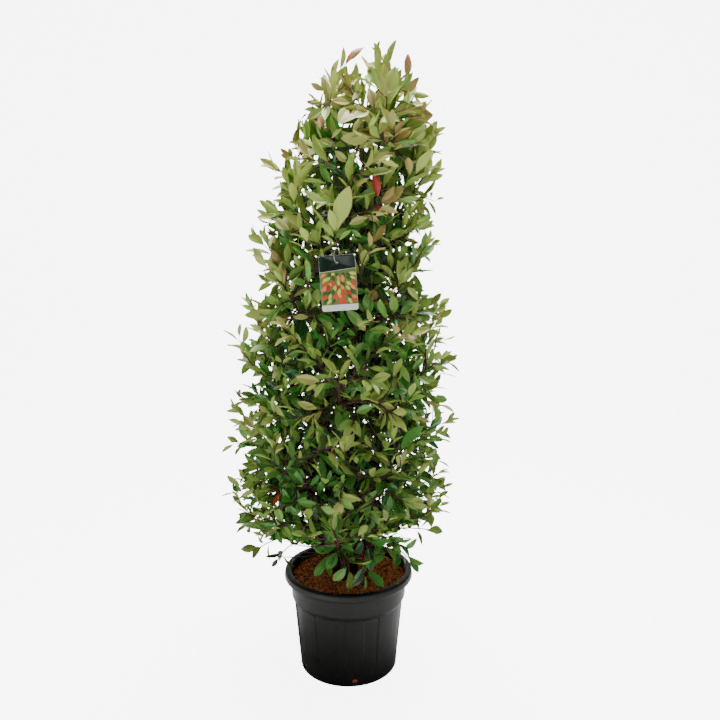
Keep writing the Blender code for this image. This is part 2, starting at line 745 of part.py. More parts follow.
def choose_bough(stems, limbs, tip, tip_direction):
    """The line to a tip from the nearest stem from which it runs clear of every other limb, or None.

    Each stem is tried with its boughs rising at several slopes.
    """
    def distance(name):
        place, _, _ = on_path(*stems[name], tip[2] - 0.10)
        return np.hypot(tip[0] - place[0], tip[1] - place[1]) + max(0.0, tip[2] - 0.10 - place[2])

    for name in sorted(stems, key=distance):
        for rise in BOUGH_RISES:
            line = bough_line(stems[name], tip, tip_direction, rise)
            fine = along(line)
            away = np.linalg.norm(fine - line[0], axis=1) > BOUGH_FREE_AFTER
            if away.any() and limbs.clearance(fine[away]).min() > BOUGH_FOOT_RADIUS + BOUGH_APART:
                return line
    return None


def place_bough(space, target, stems, limbs):
    """A bough's line into a mass's space, with its tip moved aside or outwards until one runs clear."""
    for out in BOUGH_OUTS:
        inner = np.array([out * crown_radius(TIERS[space.tier][1])])
        low = tier_floor(space.tier, inner)[0]
        high = tier_floor(space.tier + 1, inner)[0]
        for share in BOUGH_HEIGHTS:
            for turn in BOUGH_TURNS_DEG:
                tip = crown_point(space.azimuth + turn, out, low + share * (high - low))
                ahead = unit(unit(target - tip) + np.array([0.0, 0.0, BOUGH_LIFT]))
                line = choose_bough(stems, limbs, tip, ahead)
                if line is not None:
                    return line, ahead
    raise ValueError(f"no stem reaches the space at {space.azimuth} degrees in tier {space.tier}")


def build_card(finish):
    """A thin card with round corners and a hole near its upper edge, turned a little in its own plane."""
    half_w, half_h = CARD_WIDTH / 2 - CARD_CORNER, CARD_HEIGHT / 2 - CARD_CORNER
    outline = []
    for corner, (cx, cz) in enumerate(((1, 1), (-1, 1), (-1, -1), (1, -1))):
        for k in range(CARD_CORNER_STEPS + 1):
            turn = (corner + k / CARD_CORNER_STEPS) * math.pi / 2
            outline.append((
                cx * half_w + CARD_CORNER * math.cos(turn),
                cz * half_h + CARD_CORNER * math.sin(turn) - CARD_HEIGHT / 2 + CARD_HOLE_DROP,
            ))
    count = len(outline)
    points = [(x, y, z) for y in (CARD_THICKNESS / 2, -CARD_THICKNESS / 2) for x, z in outline]
    faces = [tuple(reversed(range(count))), tuple(range(count, 2 * count))]
    faces += [(k, (k + 1) % count, (k + 1) % count + count, k + count) for k in range(count)]
    card = mesh_object("card", points, faces, finish)
    hole = [(0.0, 0.004, 0.0), (0.0, -0.004, 0.0)]
    cutter = mesh_object("hole_cutter", *sweep(hole, (CARD_HOLE_RADIUS,) * 2, 10), finish)
    combine(card, [cutter], "DIFFERENCE", "EXACT")
    card.location = (HANGER[0], HANGER[1], HANGER[2] - CARD_HOLE_BELOW)
    card.rotation_euler = (0.0, -CARD_TURN_DEG * DEG, 0.0)
    return card


def build_loop(finish):
    """The loop that goes over the shoot and through the card's hole: a long upright ring."""
    curve = bpy.data.curves.new("loop", "CURVE")
    curve.dimensions = "3D"
    curve.bevel_depth = LOOP_WIRE
    curve.bevel_resolution = 0
    spline = curve.splines.new("POLY")
    spline.points.add(LOOP_STEPS - 1)
    top = HANGER[2] + LOOP_TOP
    bottom = HANGER[2] - CARD_HOLE_BELOW + CARD_HOLE_RADIUS - 2 * LOOP_WIRE - GAP
    aside = polar(LOOP_TURN_DEG, LOOP_HALF_WIDTH)
    for k in range(LOOP_STEPS):
        turn = 2 * math.pi * k / LOOP_STEPS
        place = np.array(HANGER) + aside * math.cos(turn)
        place[2] = (top + bottom) / 2 + (top - bottom) / 2 * math.sin(turn)
        spline.points[k].co = (*place, 1.0)
    spline.use_cyclic_u = True
    obj = bpy.data.objects.new("card_loop", curve)
    curve.materials.append(finish)
    bpy.context.scene.collection.objects.link(obj)
    return obj


def plan_crown(stems, limbs, bark, rng):
    """Builds the boughs, and gives the name, space, root, direction and target of every mass.

    All limbs come before any foliage, so that the foliage can keep clear of them.
    """
    fed_by = {row[-1]: row[0] for row in STEMS}
    planned = []
    for name, space, target in plan_masses(rng):
        if name in fed_by:
            path, _ = stems[fed_by[name]]
            ahead = unit(path[-1] - path[-2])
            tip = path[-1]
        else:
            line, ahead = place_bough(space, target, stems, limbs)
            tip = line[-1]
            build_bough(name.replace("foliage", "bough"), line, bark, limbs)
        planned.append((name, space, tip + ahead * GAP, ahead, np.array(LEADER_TIPS.get(name, target))))
    return planned


def build_card_shoot(stems, limbs, bark, finish, rng):
    """The bough that carries the card's loop, and the leaves at its end."""
    ahead = unit(np.array([0.05, -1.0, 0.12]))
    tip = np.array(HANGER) + ahead * SHOOT_PAST_LOOP
    line = choose_bough(stems, limbs, tip, ahead)
    build_bough("bough_card", line, bark, limbs)
    root = tip + ahead * GAP
    target = root + np.array([-0.006, -0.020, 0.095])
    lines, leaves = grow_mass(CardSpace(), limbs, root, ahead, target, 0, rng, CARD_LEAF_LENGTH)
    build_mass("foliage_card", lines, leaves, finish)


def build_crown(stems, limbs, bark, leaf_finishes):
    rng = random.Random(SEED)
    planned = plan_crown(stems, limbs, bark, rng)
    build_card_shoot(stems, limbs, bark, leaf_finishes[4], rng)
    leaf_count = 0
    for name, space, root, direction, target in planned:
        lines, leaves = grow_mass(space, limbs, root, direction, target, SHOOTS_PER_MASS, rng)
        build_mass(name, lines, leaves, leaf_finishes[space.tier])
        leaf_count += len(leaves)
    print(f"{len(planned) + 1} masses, {leaf_count} leaves")


def main():
    clear_scene()
    pot_black = material("pot_black", (0.018, 0.019, 0.018), 0.45)
    soil_brown = material("soil_brown", (0.090, 0.040, 0.018), 0.95)
    bark = material("bark", (0.060, 0.035, 0.025), 0.80)
    card_print = material("card_print", (0.40, 0.16, 0.08), 0.40)
    loop_clear = material("loop_clear", (0.75, 0.75, 0.72), 0.35)
    low, high = np.array([0.035, 0.100, 0.018]), np.array([0.230, 0.270, 0.085])
    leaf_finishes = []
    for tier in range(len(TIERS)):
        colour = low + (high - low) * tier / (len(TIERS) - 1)
        leaf_finishes.append(material(f"leaf_tier_{tier}", tuple(colour), 0.40))
    limbs = Limbs()
    build_pot(pot_black)
    build_soil(soil_brown)
    stems = build_stems(bark, limbs)
    build_card(card_print)
    build_loop(loop_clear)
    build_crown(stems, limbs, bark, leaf_finishes)


main()
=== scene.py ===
import json
import math
import random

import bpy
import numpy as np
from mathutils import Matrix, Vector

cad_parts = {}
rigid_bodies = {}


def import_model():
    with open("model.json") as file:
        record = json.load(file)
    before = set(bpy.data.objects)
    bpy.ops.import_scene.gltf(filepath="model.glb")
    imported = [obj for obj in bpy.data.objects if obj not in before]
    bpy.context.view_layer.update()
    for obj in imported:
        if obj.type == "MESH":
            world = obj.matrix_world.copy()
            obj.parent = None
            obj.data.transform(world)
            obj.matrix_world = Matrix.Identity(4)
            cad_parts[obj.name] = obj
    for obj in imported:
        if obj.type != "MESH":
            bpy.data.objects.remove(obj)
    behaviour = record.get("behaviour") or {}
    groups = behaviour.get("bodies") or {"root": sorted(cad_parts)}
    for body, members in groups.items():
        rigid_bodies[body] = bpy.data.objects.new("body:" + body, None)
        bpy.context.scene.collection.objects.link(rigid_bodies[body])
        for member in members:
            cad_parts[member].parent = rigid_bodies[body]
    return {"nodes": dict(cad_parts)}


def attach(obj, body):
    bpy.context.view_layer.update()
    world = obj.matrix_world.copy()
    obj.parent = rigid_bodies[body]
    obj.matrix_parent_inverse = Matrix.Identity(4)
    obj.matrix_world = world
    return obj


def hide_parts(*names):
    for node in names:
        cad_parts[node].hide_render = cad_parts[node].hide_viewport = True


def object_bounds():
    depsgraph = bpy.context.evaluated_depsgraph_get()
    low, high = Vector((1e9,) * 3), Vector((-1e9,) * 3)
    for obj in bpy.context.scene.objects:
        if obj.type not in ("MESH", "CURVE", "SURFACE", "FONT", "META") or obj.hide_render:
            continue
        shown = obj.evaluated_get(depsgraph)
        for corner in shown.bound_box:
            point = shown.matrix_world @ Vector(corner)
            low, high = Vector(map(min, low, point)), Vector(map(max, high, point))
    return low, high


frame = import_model()
cad_low, cad_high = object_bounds()
print(f"{len(frame['nodes'])} solids in the frame, {cad_high.z:.3f} m tall")

# %% [markdown]
# The camera stands a little under three metres away, at eye height, and looks down by eight and a
# half degrees. From there the pot's mouth is a slim ellipse, with the soil in view, and the crown is
# seen almost level.
# %% Camera
DEG = math.pi / 180
EYE, LOOK_DOWN = (0.0497, -2.857, 1.760), 8.55
lens = bpy.data.cameras.new("studio_camera")
lens.lens, lens.sensor_width = 35.0, 36.0
camera = bpy.data.objects.new("studio_camera", lens)
camera.location = EYE
camera.rotation_euler = ((90.0 - LOOK_DOWN) * DEG, 0.0, 0.0)
bpy.context.scene.collection.objects.link(camera)
bpy.context.scene.camera = camera
print("camera at", tuple(round(v, 3) for v in camera.location))

# %% [markdown]
# Every piece below is worked out as arrays and then put into a mesh in one go, which is far quicker
# than adding points one by one. Two small helpers do that for all of them: one numbers the quads of a
# grid, and one makes the object with its materials, its own UV map and soft shading that breaks
# at hard edges.
# %% Mesh helpers
def grid_quads(rows, columns, wrap=True):
    """Quads of a grid of points numbered row by row; with wrap the last column meets the first."""
    i = np.arange(rows - 1)[:, None]
    j = np.arange(columns if wrap else columns - 1)[None, :]
    a, b = i * columns + j, i * columns + (j + 1) % columns
    return np.stack([a, b, b + columns, a + columns], axis=-1).reshape(-1, 4)


def make_piece(name, points, face_sets, finishes, indices=None, uv=None, sharp=50.0):
    """A mesh object at the origin. face_sets holds arrays of faces with the same number of corners each,
    and indices the material of each face, in the same order."""
    points = np.ascontiguousarray(points, np.float32).reshape(-1, 3)
    corners = np.concatenate([np.asarray(f, np.int32).ravel() for f in face_sets])
    sizes = np.concatenate([np.full(len(f), np.shape(f)[1], np.int32) for f in face_sets])
    mesh = bpy.data.meshes.new(name)
    mesh.vertices.add(len(points))
    mesh.vertices.foreach_set("co", points.ravel())
    mesh.loops.add(len(corners))
    mesh.loops.foreach_set("vertex_index", corners)
    mesh.polygons.add(len(sizes))
    mesh.polygons.foreach_set("loop_start", np.concatenate([[0], np.cumsum(sizes)[:-1]]).astype(np.int32))
    for finish in finishes:
        mesh.materials.append(finish)
    if indices is not None:
        mesh.polygons.foreach_set("material_index", np.concatenate(indices).astype(np.int32))
    if uv is not None:
        layer = mesh.uv_layers.new(name="own_map")
        layer.data.foreach_set("uv", np.asarray(uv, np.float32)[corners].ravel())
    mesh.update(calc_edges=True)
    mesh.validate()
    mesh.shade_smooth()
    mesh.set_sharp_from_angle(angle=sharp * DEG)
    obj = bpy.data.objects.new(name, mesh)
    bpy.context.scene.collection.objects.link(obj)
    return obj


def place(obj, nodes):
    """The piece rides on the plant's one body and stands for the nodes, which are hidden."""
    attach(obj, "root")
    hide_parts(*nodes)
    print(f"{obj.name}: {len(obj.data.polygons)} faces, stands for {len(nodes)} solids")


def named(start):
    """Names of the frame's solids that start with a word."""
    return sorted(n for n in frame["nodes"] if n.startswith(start))


# %% [markdown]
# Studio: a white floor runs into a white wall with no edge, so one curved sheet makes both. Curves
# such as the corner of that sheet and the lines of the stems are Bezier curves from one helper.
# Colours are given as a screen shows them, then changed to the light values that shaders take.
# %% Curves, colours and plain finishes
def bezier(corners, steps):
    """Points on a Bezier curve: the corners are mixed pairwise in the ratio t to 1 - t until one is left."""
    t = np.linspace(0.0, 1.0, steps + 1)[:, None]
    level = [np.broadcast_to(np.asarray(c, float), (steps + 1, 3)) for c in corners]
    while len(level) > 1:
        level = [a * (1 - t) + b * t for a, b in zip(level, level[1:])]
    return level[0]


def linear(r, g, b):
    """A colour as a screen shows it, 0 to 255, changed to the light values that shaders take."""
    c = np.array([r, g, b]) / 255.0
    return tuple(np.where(c <= 0.04045, c / 12.92, ((c + 0.055) / 1.055) ** 2.4))


def plain(name, colour, roughness, specular=0.5, coat=0.0):
    """A Principled material with its own sockets set. Returns the material, its nodes and its shader."""
    made = bpy.data.materials.new(name)
    made.use_nodes = True
    shader = made.node_tree.nodes["Principled BSDF"]
    shader.inputs["Base Color"].default_value = (*colour, 1.0)
    shader.inputs["Roughness"].default_value = roughness
    shader.inputs["Specular IOR Level"].default_value = specular
    shader.inputs["Coat Weight"].default_value = coat
    return made, made.node_tree, shader


# %% Floor and wall
WHITE_BOOST, WORLD_LIGHT, FLOOR_DROP, SWEEP_COLUMNS = 6.5, 0.14, 0.0005, 8
corner_arc = bezier(((0, 5.0, 0), (0, 7.5, 0), (0, 7.5, 2.5)), 24)
sweep_line = np.vstack([[(0, -9, 0)], corner_arc, [(0, 7.5, 9)]]) - (0, 0, FLOOR_DROP)
floor_points = np.stack([sweep_line + (x, 0, 0) for x in np.linspace(-14, 14, SWEEP_COLUMNS)], axis=1)
floor_white, floor_tree, floor_shader = plain("studio_white", linear(250, 250, 250), 0.9, 0.1)
seen = floor_tree.nodes.new("ShaderNodeLightPath")
brighter = floor_tree.nodes.new("ShaderNodeMath")
brighter.operation, brighter.inputs[1].default_value = "MULTIPLY", WHITE_BOOST
floor_tree.links.new(seen.outputs["Is Camera Ray"], brighter.inputs[0])
floor_shader.inputs["Emission Color"].default_value = (1.0, 1.0, 1.0, 1.0)
floor_tree.links.new(brighter.outputs["Value"], floor_shader.inputs["Emission Strength"])
sweep_quads = grid_quads(len(sweep_line), SWEEP_COLUMNS, wrap=False)
backdrop = make_piece("backdrop", floor_points, [sweep_quads], [floor_white])
print(len(sweep_quads), "faces in floor and wall")

# %% [markdown]
# The main light stands at the upper left. It is small enough for leaves to shade one another, which
# gives the crown its depth. A wider one at the right and one overhead soften it. The floor and the
# world give little light, but both are boosted for rays from the camera, so that the ground behind
# the plant is nearly pure white.
# %% Lights and world
def area_light(name, at, aim, size, power):
    """A square light at a place, turned so that its own -Z axis runs to the aim."""
    light = bpy.data.lights.new(name, "AREA")
    light.size, light.energy = size, power
    obj = bpy.data.objects.new(name, light)
    obj.location = at
    heading = np.array(aim, float) - np.array(at, float)
    obj.rotation_euler = (
        math.acos(-heading[2] / np.linalg.norm(heading)), 0.0, math.atan2(heading[0], -heading[1])
    )
    bpy.context.scene.collection.objects.link(obj)


area_light("key_light", (-2.6, -3.4, 4.2), (0.0, 0.0, 1.3), 1.6, 1330.0)
area_light("fill_light", (2.6, -3.6, 2.1), (0.0, 0.0, 0.8), 2.0, 500.0)
area_light("top_light", (0.2, 0.4, 5.6), (0.0, 0.0, 1.0), 2.2, 500.0)
world = bpy.data.worlds.new("studio_world")
world.use_nodes = True
sky = world.node_tree.nodes["Background"]
sky.inputs["Color"].default_value = (1.0, 1.0, 1.0, 1.0)
world_seen = world.node_tree.nodes.new("ShaderNodeLightPath")
world_light = world.node_tree.nodes.new("ShaderNodeMath")
world_light.operation = "MULTIPLY_ADD"
world_light.inputs[1].default_value, world_light.inputs[2].default_value = WHITE_BOOST, WORLD_LIGHT
world.node_tree.links.new(world_seen.outputs["Is Camera Ray"], world_light.inputs[0])
world.node_tree.links.new(world_light.outputs["Value"], sky.inputs["Strength"])
bpy.context.scene.world = world
print("three lights and a pale world")

# %% [markdown]
# Several finishes here share two effects. The first is a fine grain: small noise that makes a moulded
# or a grown surface look less even. The second is dust, which lies on faces that look up. Each is a
# node group, built once, that hands out values and colours only, and each material gives it its own
# scale and strength.
# %% Shared shader groups
def new_group(name, ins, outs):
    """A shader node group with named sockets. Returns the tree and its input and output nodes."""
    tree = bpy.data.node_groups.new(name, "ShaderNodeTree")
    for label, kind, value in ins:
        socket = tree.interface.new_socket(label, in_out="INPUT", socket_type=kind)
        if value is not None:
            socket.default_value = value
    for label, kind in outs:
        tree.interface.new_socket(label, in_out="OUTPUT", socket_type=kind)
    return tree, tree.nodes.new("NodeGroupInput"), tree.nodes.new("NodeGroupOutput")


def add(tree, kind, links=(), **values):
    """A node with sockets or settings from values, and links from (socket, input name or number)."""
    node = tree.nodes.new(kind)
    for key, value in values.items():
        if hasattr(node, key):
            setattr(node, key, value)
        else:
            node.inputs[key.replace("_", " ")].default_value = value
    for socket, into in links:
        tree.links.new(socket, node.inputs[into])
    return node


FLOAT, COLOUR, VECTOR = "NodeSocketFloat", "NodeSocketColor", "NodeSocketVector"

grain, g_in, g_out = new_group(
    "grain",
    (("Place", VECTOR, None), ("Scale", FLOAT, 60.0), ("Low", FLOAT, 0.3), ("High", FLOAT, 0.5)),
    (("Value", FLOAT), ("Height", FLOAT)),
)
coarse = add(
    grain, "ShaderNodeTexNoise", [(g_in.outputs["Place"], "Vector"), (g_in.outputs["Scale"], "Scale")],
    Detail=5.0, Roughness=0.6,
)
ranged = add(grain, "ShaderNodeMapRange", [
    (coarse.outputs["Fac"], "Value"), (g_in.outputs["Low"], "To Min"), (g_in.outputs["High"], "To Max"),
], From_Min=0.30, From_Max=0.70)
grain.links.new(ranged.outputs["Result"], g_out.inputs["Value"])
grain.links.new(coarse.outputs["Fac"], g_out.inputs["Height"])

dust, d_in, d_out = new_group(
    "dust",
    (("Base", COLOUR, (0.02, 0.02, 0.02, 1)), ("Dust", COLOUR, (0.3, 0.28, 0.25, 1)), ("Amount", FLOAT, 0.3),
     ("Place", VECTOR, None), ("Scale", FLOAT, 14.0)),
    (("Color", COLOUR),),
)
facing = add(dust, "ShaderNodeNewGeometry")
up = add(dust, "ShaderNodeSeparateXYZ", [(facing.outputs["Normal"], "Vector")])
upness = add(dust, "ShaderNodeMapRange", [(up.outputs["Z"], "Value")],
             From_Min=-0.2, From_Max=1.0, To_Min=0.15, To_Max=1.0)
patches = add(
    dust, "ShaderNodeTexNoise", [(d_in.outputs["Place"], "Vector"), (d_in.outputs["Scale"], "Scale")],
    Detail=6.0,
)
covered = add(dust, "ShaderNodeMapRange", [(patches.outputs["Fac"], "Value")], From_Min=0.42, From_Max=0.75)
both = add(dust, "ShaderNodeMath", [(upness.outputs["Result"], 0), (covered.outputs["Result"], 1)],
           operation="MULTIPLY")
scaled = add(dust, "ShaderNodeMath", [(both.outputs["Value"], 0), (d_in.outputs["Amount"], 1)],
             operation="MULTIPLY")
tinted = add(dust, "ShaderNodeMix", data_type="RGBA")
dust.links.new(scaled.outputs["Value"], tinted.inputs["Factor"])
dust.links.new(d_in.outputs["Base"], tinted.inputs[6])
dust.links.new(d_in.outputs["Dust"], tinted.inputs[7])
dust.links.new(tinted.outputs[2], d_out.inputs["Color"])


def grained(name, colour, low, high, scale, bump, dusty=0.0, dust_colour=(0.3, 0.28, 0.25), **more):
    """A finish with grain in its roughness and bump, and dust on its upward faces if asked for."""
    made, tree, shader = plain(name, colour, 0.5, **more)
    where = add(tree, "ShaderNodeTexCoord").outputs["Object"]
    fine = add(tree, "ShaderNodeGroup", node_tree=grain)
    tree.links.new(where, fine.inputs["Place"])
    fine.inputs["Scale"].default_value = scale
    fine.inputs["Low"].default_value, fine.inputs["High"].default_value = low, high
    tree.links.new(fine.outputs["Value"], shader.inputs["Roughness"])
    rough = add(tree, "ShaderNodeBump", [(fine.outputs["Height"], "Height")], Strength=bump, Distance=0.001)
    tree.links.new(rough.outputs["Normal"], shader.inputs["Normal"])
    if dusty:
        film = add(tree, "ShaderNodeGroup", node_tree=dust)
        tree.links.new(where, film.inputs["Place"])
        film.inputs["Base"].default_value = (*colour, 1.0)
        film.inputs["Dust"].default_value = (*dust_colour, 1.0)
        film.inputs["Amount"].default_value = dusty
        tree.links.new(film.outputs["Color"], shader.inputs["Base Color"])
    return made


print("groups:", [g.name for g in bpy.data.node_groups])

# %% [markdown]
# The pot is moulded black plastic: a cone with a collar and a thick rolled lip, and shallow sunk panels
# down its side. A lathe shape is the natural way to make it. Here the lathe's radius also changes with
# the angle, so that the panels are pressed into it, and their edges get extra columns of points so
# that they stay crisp.
# %% Pot profile
LIP, MOUTH, NECK, BASE, TOP = 0.2750, 0.2460, 0.2450, 0.2075, 0.430
NECK_HEIGHT, WAIST_HEIGHT, WAIST, WALL, FLOOR = 0.396, 0.300, 0.2335, 0.0062, 0.0050
PANEL_EDGES, PANEL_FIRST, PANEL_DEPTH, PANEL_TOP = ((0.0, 34.0), (53.0, 70.0)), -126.0, 0.0034, 0.302
PANEL_EASE, AXIS_RING = 0.9, 0.150


def rounded(corners, reach, steps):
    """A line through corners, each rounded by a Bezier arc that starts and ends its reach away."""
    corners = [np.array(c, float) for c in corners]
    line = [corners[0]]
    for before, corner, after, r in zip(corners, corners[1:], corners[2:], reach):
        a = corner + (before - corner) * min(r / np.linalg.norm(before - corner), 0.5)
        b = corner + (after - corner) * min(r / np.linalg.norm(after - corner), 0.5)
        t = np.linspace(0, 1, steps + 1)[:, None]
        line.extend((1 - t) ** 2 * a + 2 * t * (1 - t) * corner + t**2 * b)
    line.append(corners[-1])
    return np.array(line)


def divided(line, most):
    """The line with points added until none of its lengths is over the most."""
    out = [line[:1]]
    for a, b in zip(line, line[1:]):
        n = max(int(math.ceil(np.linalg.norm(b - a) / most)), 1)
        out.append(a + (b - a) * np.linspace(0, 1, n + 1)[1:, None])
    return np.concatenate(out)


pot_corners = [
    (AXIS_RING, 0.0), (BASE, 0.0), (BASE + 0.0024, 0.030), (0.2320, 0.278), (0.2345, PANEL_TOP),
    (0.2440, 0.318), (NECK, NECK_HEIGHT), (LIP - 0.004, NECK_HEIGHT + 0.002), (LIP, NECK_HEIGHT + 0.010),
    (LIP - 0.004, TOP), (MOUTH, TOP), (NECK - WALL, NECK_HEIGHT), (WAIST - WALL, WAIST_HEIGHT),
    (BASE - WALL, FLOOR), (AXIS_RING, FLOOR),
]
pot_reach = (0.004, 0.01, 0.01, 0.003, 0.008, 0.003, 0.003, 0.006, 0.007, 0.005, 0.004, 0.01, 0.004)
profile = divided(rounded(pot_corners, pot_reach, 5), 0.014)
print(len(profile), "points in the pot's profile")


# %% Sunk panels
def panel_share(degrees):
    """1 on a sunk panel and 0 between. At each edge the share rises over just under a degree, by three
    times its square less twice its cube, which starts and ends level."""
    within = (degrees - PANEL_FIRST) % 90.0
    share = np.zeros_like(within)
    for first, last in PANEL_EDGES:
        rise = np.clip((within - first) / PANEL_EASE, 0, 1) * np.clip((last - within) / PANEL_EASE, 0, 1)
        share += rise * rise * (3 - 2 * rise)
    return share


edges = np.array([PANEL_FIRST + 90 * k + e for k in range(4) for pair in PANEL_EDGES for e in pair])
close = (edges[:, None] + np.linspace(-PANEL_EASE, PANEL_EASE, 9)[None, :]).ravel()
degrees = np.unique(np.round(np.concatenate([np.arange(0, 360, 2.0), close % 360]), 3))
degrees = degrees[np.diff(degrees, append=degrees[0] + 360) > 0.05]
radius, height = profile[:, :1], profile[:, 1:]
fade = np.clip((height - 0.030) / 0.080, 0, 1) * np.clip((PANEL_TOP + 0.001 - height) / 0.004, 0, 1)
outside = np.arange(len(profile))[:, None] < np.argmax(profile[:, 1])
radius = radius - PANEL_DEPTH * panel_share(degrees[None, :]) * fade * outside
turn = degrees[None, :] * DEG
pot_points = np.stack(
    [radius * np.cos(turn), radius * np.sin(turn), np.broadcast_to(height, radius.shape)], axis=-1)
print(len(degrees), "columns round the pot")


# %% Pot
def closed_lathe(grid, low_pole, high_pole):
    """Points and faces of a lathe shape whose first and last rows are closed to a point on the axis."""
    rows, columns = grid.shape[:2]
    points = np.concatenate([grid.reshape(-1, 3), [low_pole, high_pole]])
    j = np.arange(columns)
    k = (j + 1) % columns
    last = (rows - 1) * columns
    low = np.stack([k, j, np.full(columns, rows * columns)], axis=1)
    high = np.stack([last + j, last + k, np.full(columns, rows * columns + 1)], axis=1)
    return points, [grid_quads(rows, columns), np.concatenate([low, high])]


pot_black = grained("pot_black", linear(34, 35, 33), 0.32, 0.33, 40.0, 0.04, 0.04, (0.16, 0.13, 0.10),
                    specular=0.32)
pot = make_piece("nursery_pot", *closed_lathe(pot_points, (0, 0, 0), (0, 0, FLOOR)), [pot_black], sharp=32)
print(len(pot.data.polygons), "faces in the pot before its holes")

# %% [markdown]
# Five drain holes go through the side just above the floor. Each is made as a drill would make it: a
# round bar stands across the wall, and a Boolean takes it out. The bar is a tube along a line, from the
# same helper that makes stems, boughs and the card's hole further down.
# %% Drain holes
HOLES, FIRST_HOLE, HOLE_RADIUS, HOLE_HEIGHT, HOLE_REACH = 5, -81.7, 0.0112, 0.024, 0.012


def tube(line, radii, sides):
    """Points and faces of a round limb: a ring square to the line at each of its points.

    The sideways direction starts at right angles to the whole run and is squared to each length."""
    line, radii = np.asarray(line, float), np.asarray(radii, float)
    ahead = np.gradient(line, axis=0)
    ahead /= np.linalg.norm(ahead, axis=1, keepdims=True)
    run = line[-1] - line[0]
    guide = np.cross(run, (0.31, 0.22, 0.92) if abs(run[2]) < 0.9 * np.linalg.norm(run) else (1.0, 0.0, 0.0))
    side = guide - ahead * (ahead @ guide)[:, None]
    side /= np.linalg.norm(side, axis=1, keepdims=True)
    other = np.cross(ahead, side)
    turn = np.linspace(0, 2 * math.pi, sides, endpoint=False)
    ring = side[:, None] * np.cos(turn)[:, None] + other[:, None] * np.sin(turn)[:, None]
    points = line[:, None] + ring * (radii[:, None, None] if radii.ndim == 1 else radii[..., None])
    return closed_lathe(points, line[0], line[-1])


def cut(obj, cutters):
    """The cutters taken out of the object by one Boolean, and removed."""
    group = bpy.data.collections.new("cutters")
    bpy.context.scene.collection.children.link(group)
    for cutter in cutters:
        bpy.context.scene.collection.objects.unlink(cutter)
        group.objects.link(cutter)
    step = obj.modifiers.new("holes", "BOOLEAN")
    step.operation, step.solver = "DIFFERENCE", "MANIFOLD"
    step.operand_type, step.collection = "COLLECTION", group
    bpy.context.view_layer.update()
    whole = bpy.data.meshes.new_from_object(obj.evaluated_get(bpy.context.evaluated_depsgraph_get()))
    obj.modifiers.clear()
    obj.data = whole
    for cutter in list(group.objects):
        bpy.data.objects.remove(cutter)
    bpy.data.collections.remove(group)


drills = []
for k in range(HOLES):
    a = (FIRST_HOLE + 72 * k) * DEG
    out = np.array([math.cos(a), math.sin(a), 0.0])
    drill_line = np.array([out * (BASE - HOLE_REACH), out * (BASE + HOLE_REACH)]) + (0, 0, HOLE_HEIGHT)
    drills.append(make_piece("drill", *tube(drill_line, (HOLE_RADIUS, HOLE_RADIUS), 32), [pot_black]))
cut(pot, drills)
place(pot, ["pot"])

# %% [markdown]
# Potting mix fills the pot to just under its lip. It is a reddish mix of bark crumbs and long coconut
# fibres, rough enough to show from three metres. The body is a lathe shape with a lumpy top, and on
# it lie crumbs, as small eight-faced lumps, and fibres, as thin bent tubes. All crumbs are one mesh
# and all fibres another, since thousands of separate objects would be slow.
# %% Soil body
rng = np.random.default_rng(5)
SOIL_TOP, SOIL_EDGE, SOIL_CENTRE, SOIL_GAP = 0.402, 0.2386, 0.008, 0.0003


def wall_inside(z):
    """Radius of the pot's inner wall at a height, in straight lines between its named heights, less the
    soil's gap."""
    return np.interp(z, (0.0, WAIST_HEIGHT, NECK_HEIGHT), (BASE, WAIST, NECK)) - WALL - SOIL_GAP


def soil_height(x, y):
    """The top's height: four sets of waves across each other, less by the wall, where it falls with the
    sixth power of the share of the radius."""
    lumps = 0.35 * np.sin(31 * x + 17 * y) + 0.3 * np.sin(57 * y - 23 * x + 1.3)
    lumps = lumps + 0.25 * np.sin(97 * x - 61 * y + 0.4) + 0.2 * np.sin(140 * y + 83 * x)
    return SOIL_TOP - 0.001 + 0.0058 * lumps - 0.006 * (np.hypot(x, y) / 0.239) ** 6


soil_turn = np.linspace(0, 2 * math.pi, 160, endpoint=False)[None, :]
side_heights = np.array([FLOOR + SOIL_GAP, 0.05, 0.15, WAIST_HEIGHT, 0.36, 0.388])[:, None]
side_radii = wall_inside(side_heights)
top_radii = np.linspace(SOIL_EDGE, SOIL_CENTRE, 44)[:, None]
r = np.concatenate([side_radii, top_radii]) * np.ones_like(soil_turn)
x, y = r * np.cos(soil_turn), r * np.sin(soil_turn)
side_rows = len(side_heights)
z = np.concatenate([side_heights * np.ones_like(soil_turn), soil_height(x[side_rows:], y[side_rows:])])
soil_points = np.stack([x, y, z], axis=-1)
soil_brown = grained("soil_brown", linear(255, 138, 88), 0.85, 1.0, 220.0, 0.7, 0.60, linear(255, 192, 140))
soil = make_piece(
    "potting_mix", *closed_lathe(soil_points, (0, 0, FLOOR + SOIL_GAP), (0, 0, soil_height(0.0, 0.0))),
    [soil_brown], sharp=80,
)
place(soil, ["soil"])


# %% Crumbs
def turned(count):
    """Random turning frames: three unit directions at right angles for each item."""
    a = rng.normal(size=(count, 3))
    a /= np.linalg.norm(a, axis=1, keepdims=True)
    b = np.cross(a, rng.normal(size=(count, 3)))
    b /= np.linalg.norm(b, axis=1, keepdims=True)
    return np.stack([a, b, np.cross(a, b)], axis=1)


def on_soil(count, most=0.234):
    """Places spread evenly over the round top: the distance is the most times the root of a share."""
    far, way = most * np.sqrt(rng.uniform(0, 1, count)), rng.uniform(0, 2 * math.pi, count)
    x, y = far * np.cos(way), far * np.sin(way)
    return np.stack([x, y, soil_height(x, y)], axis=1)


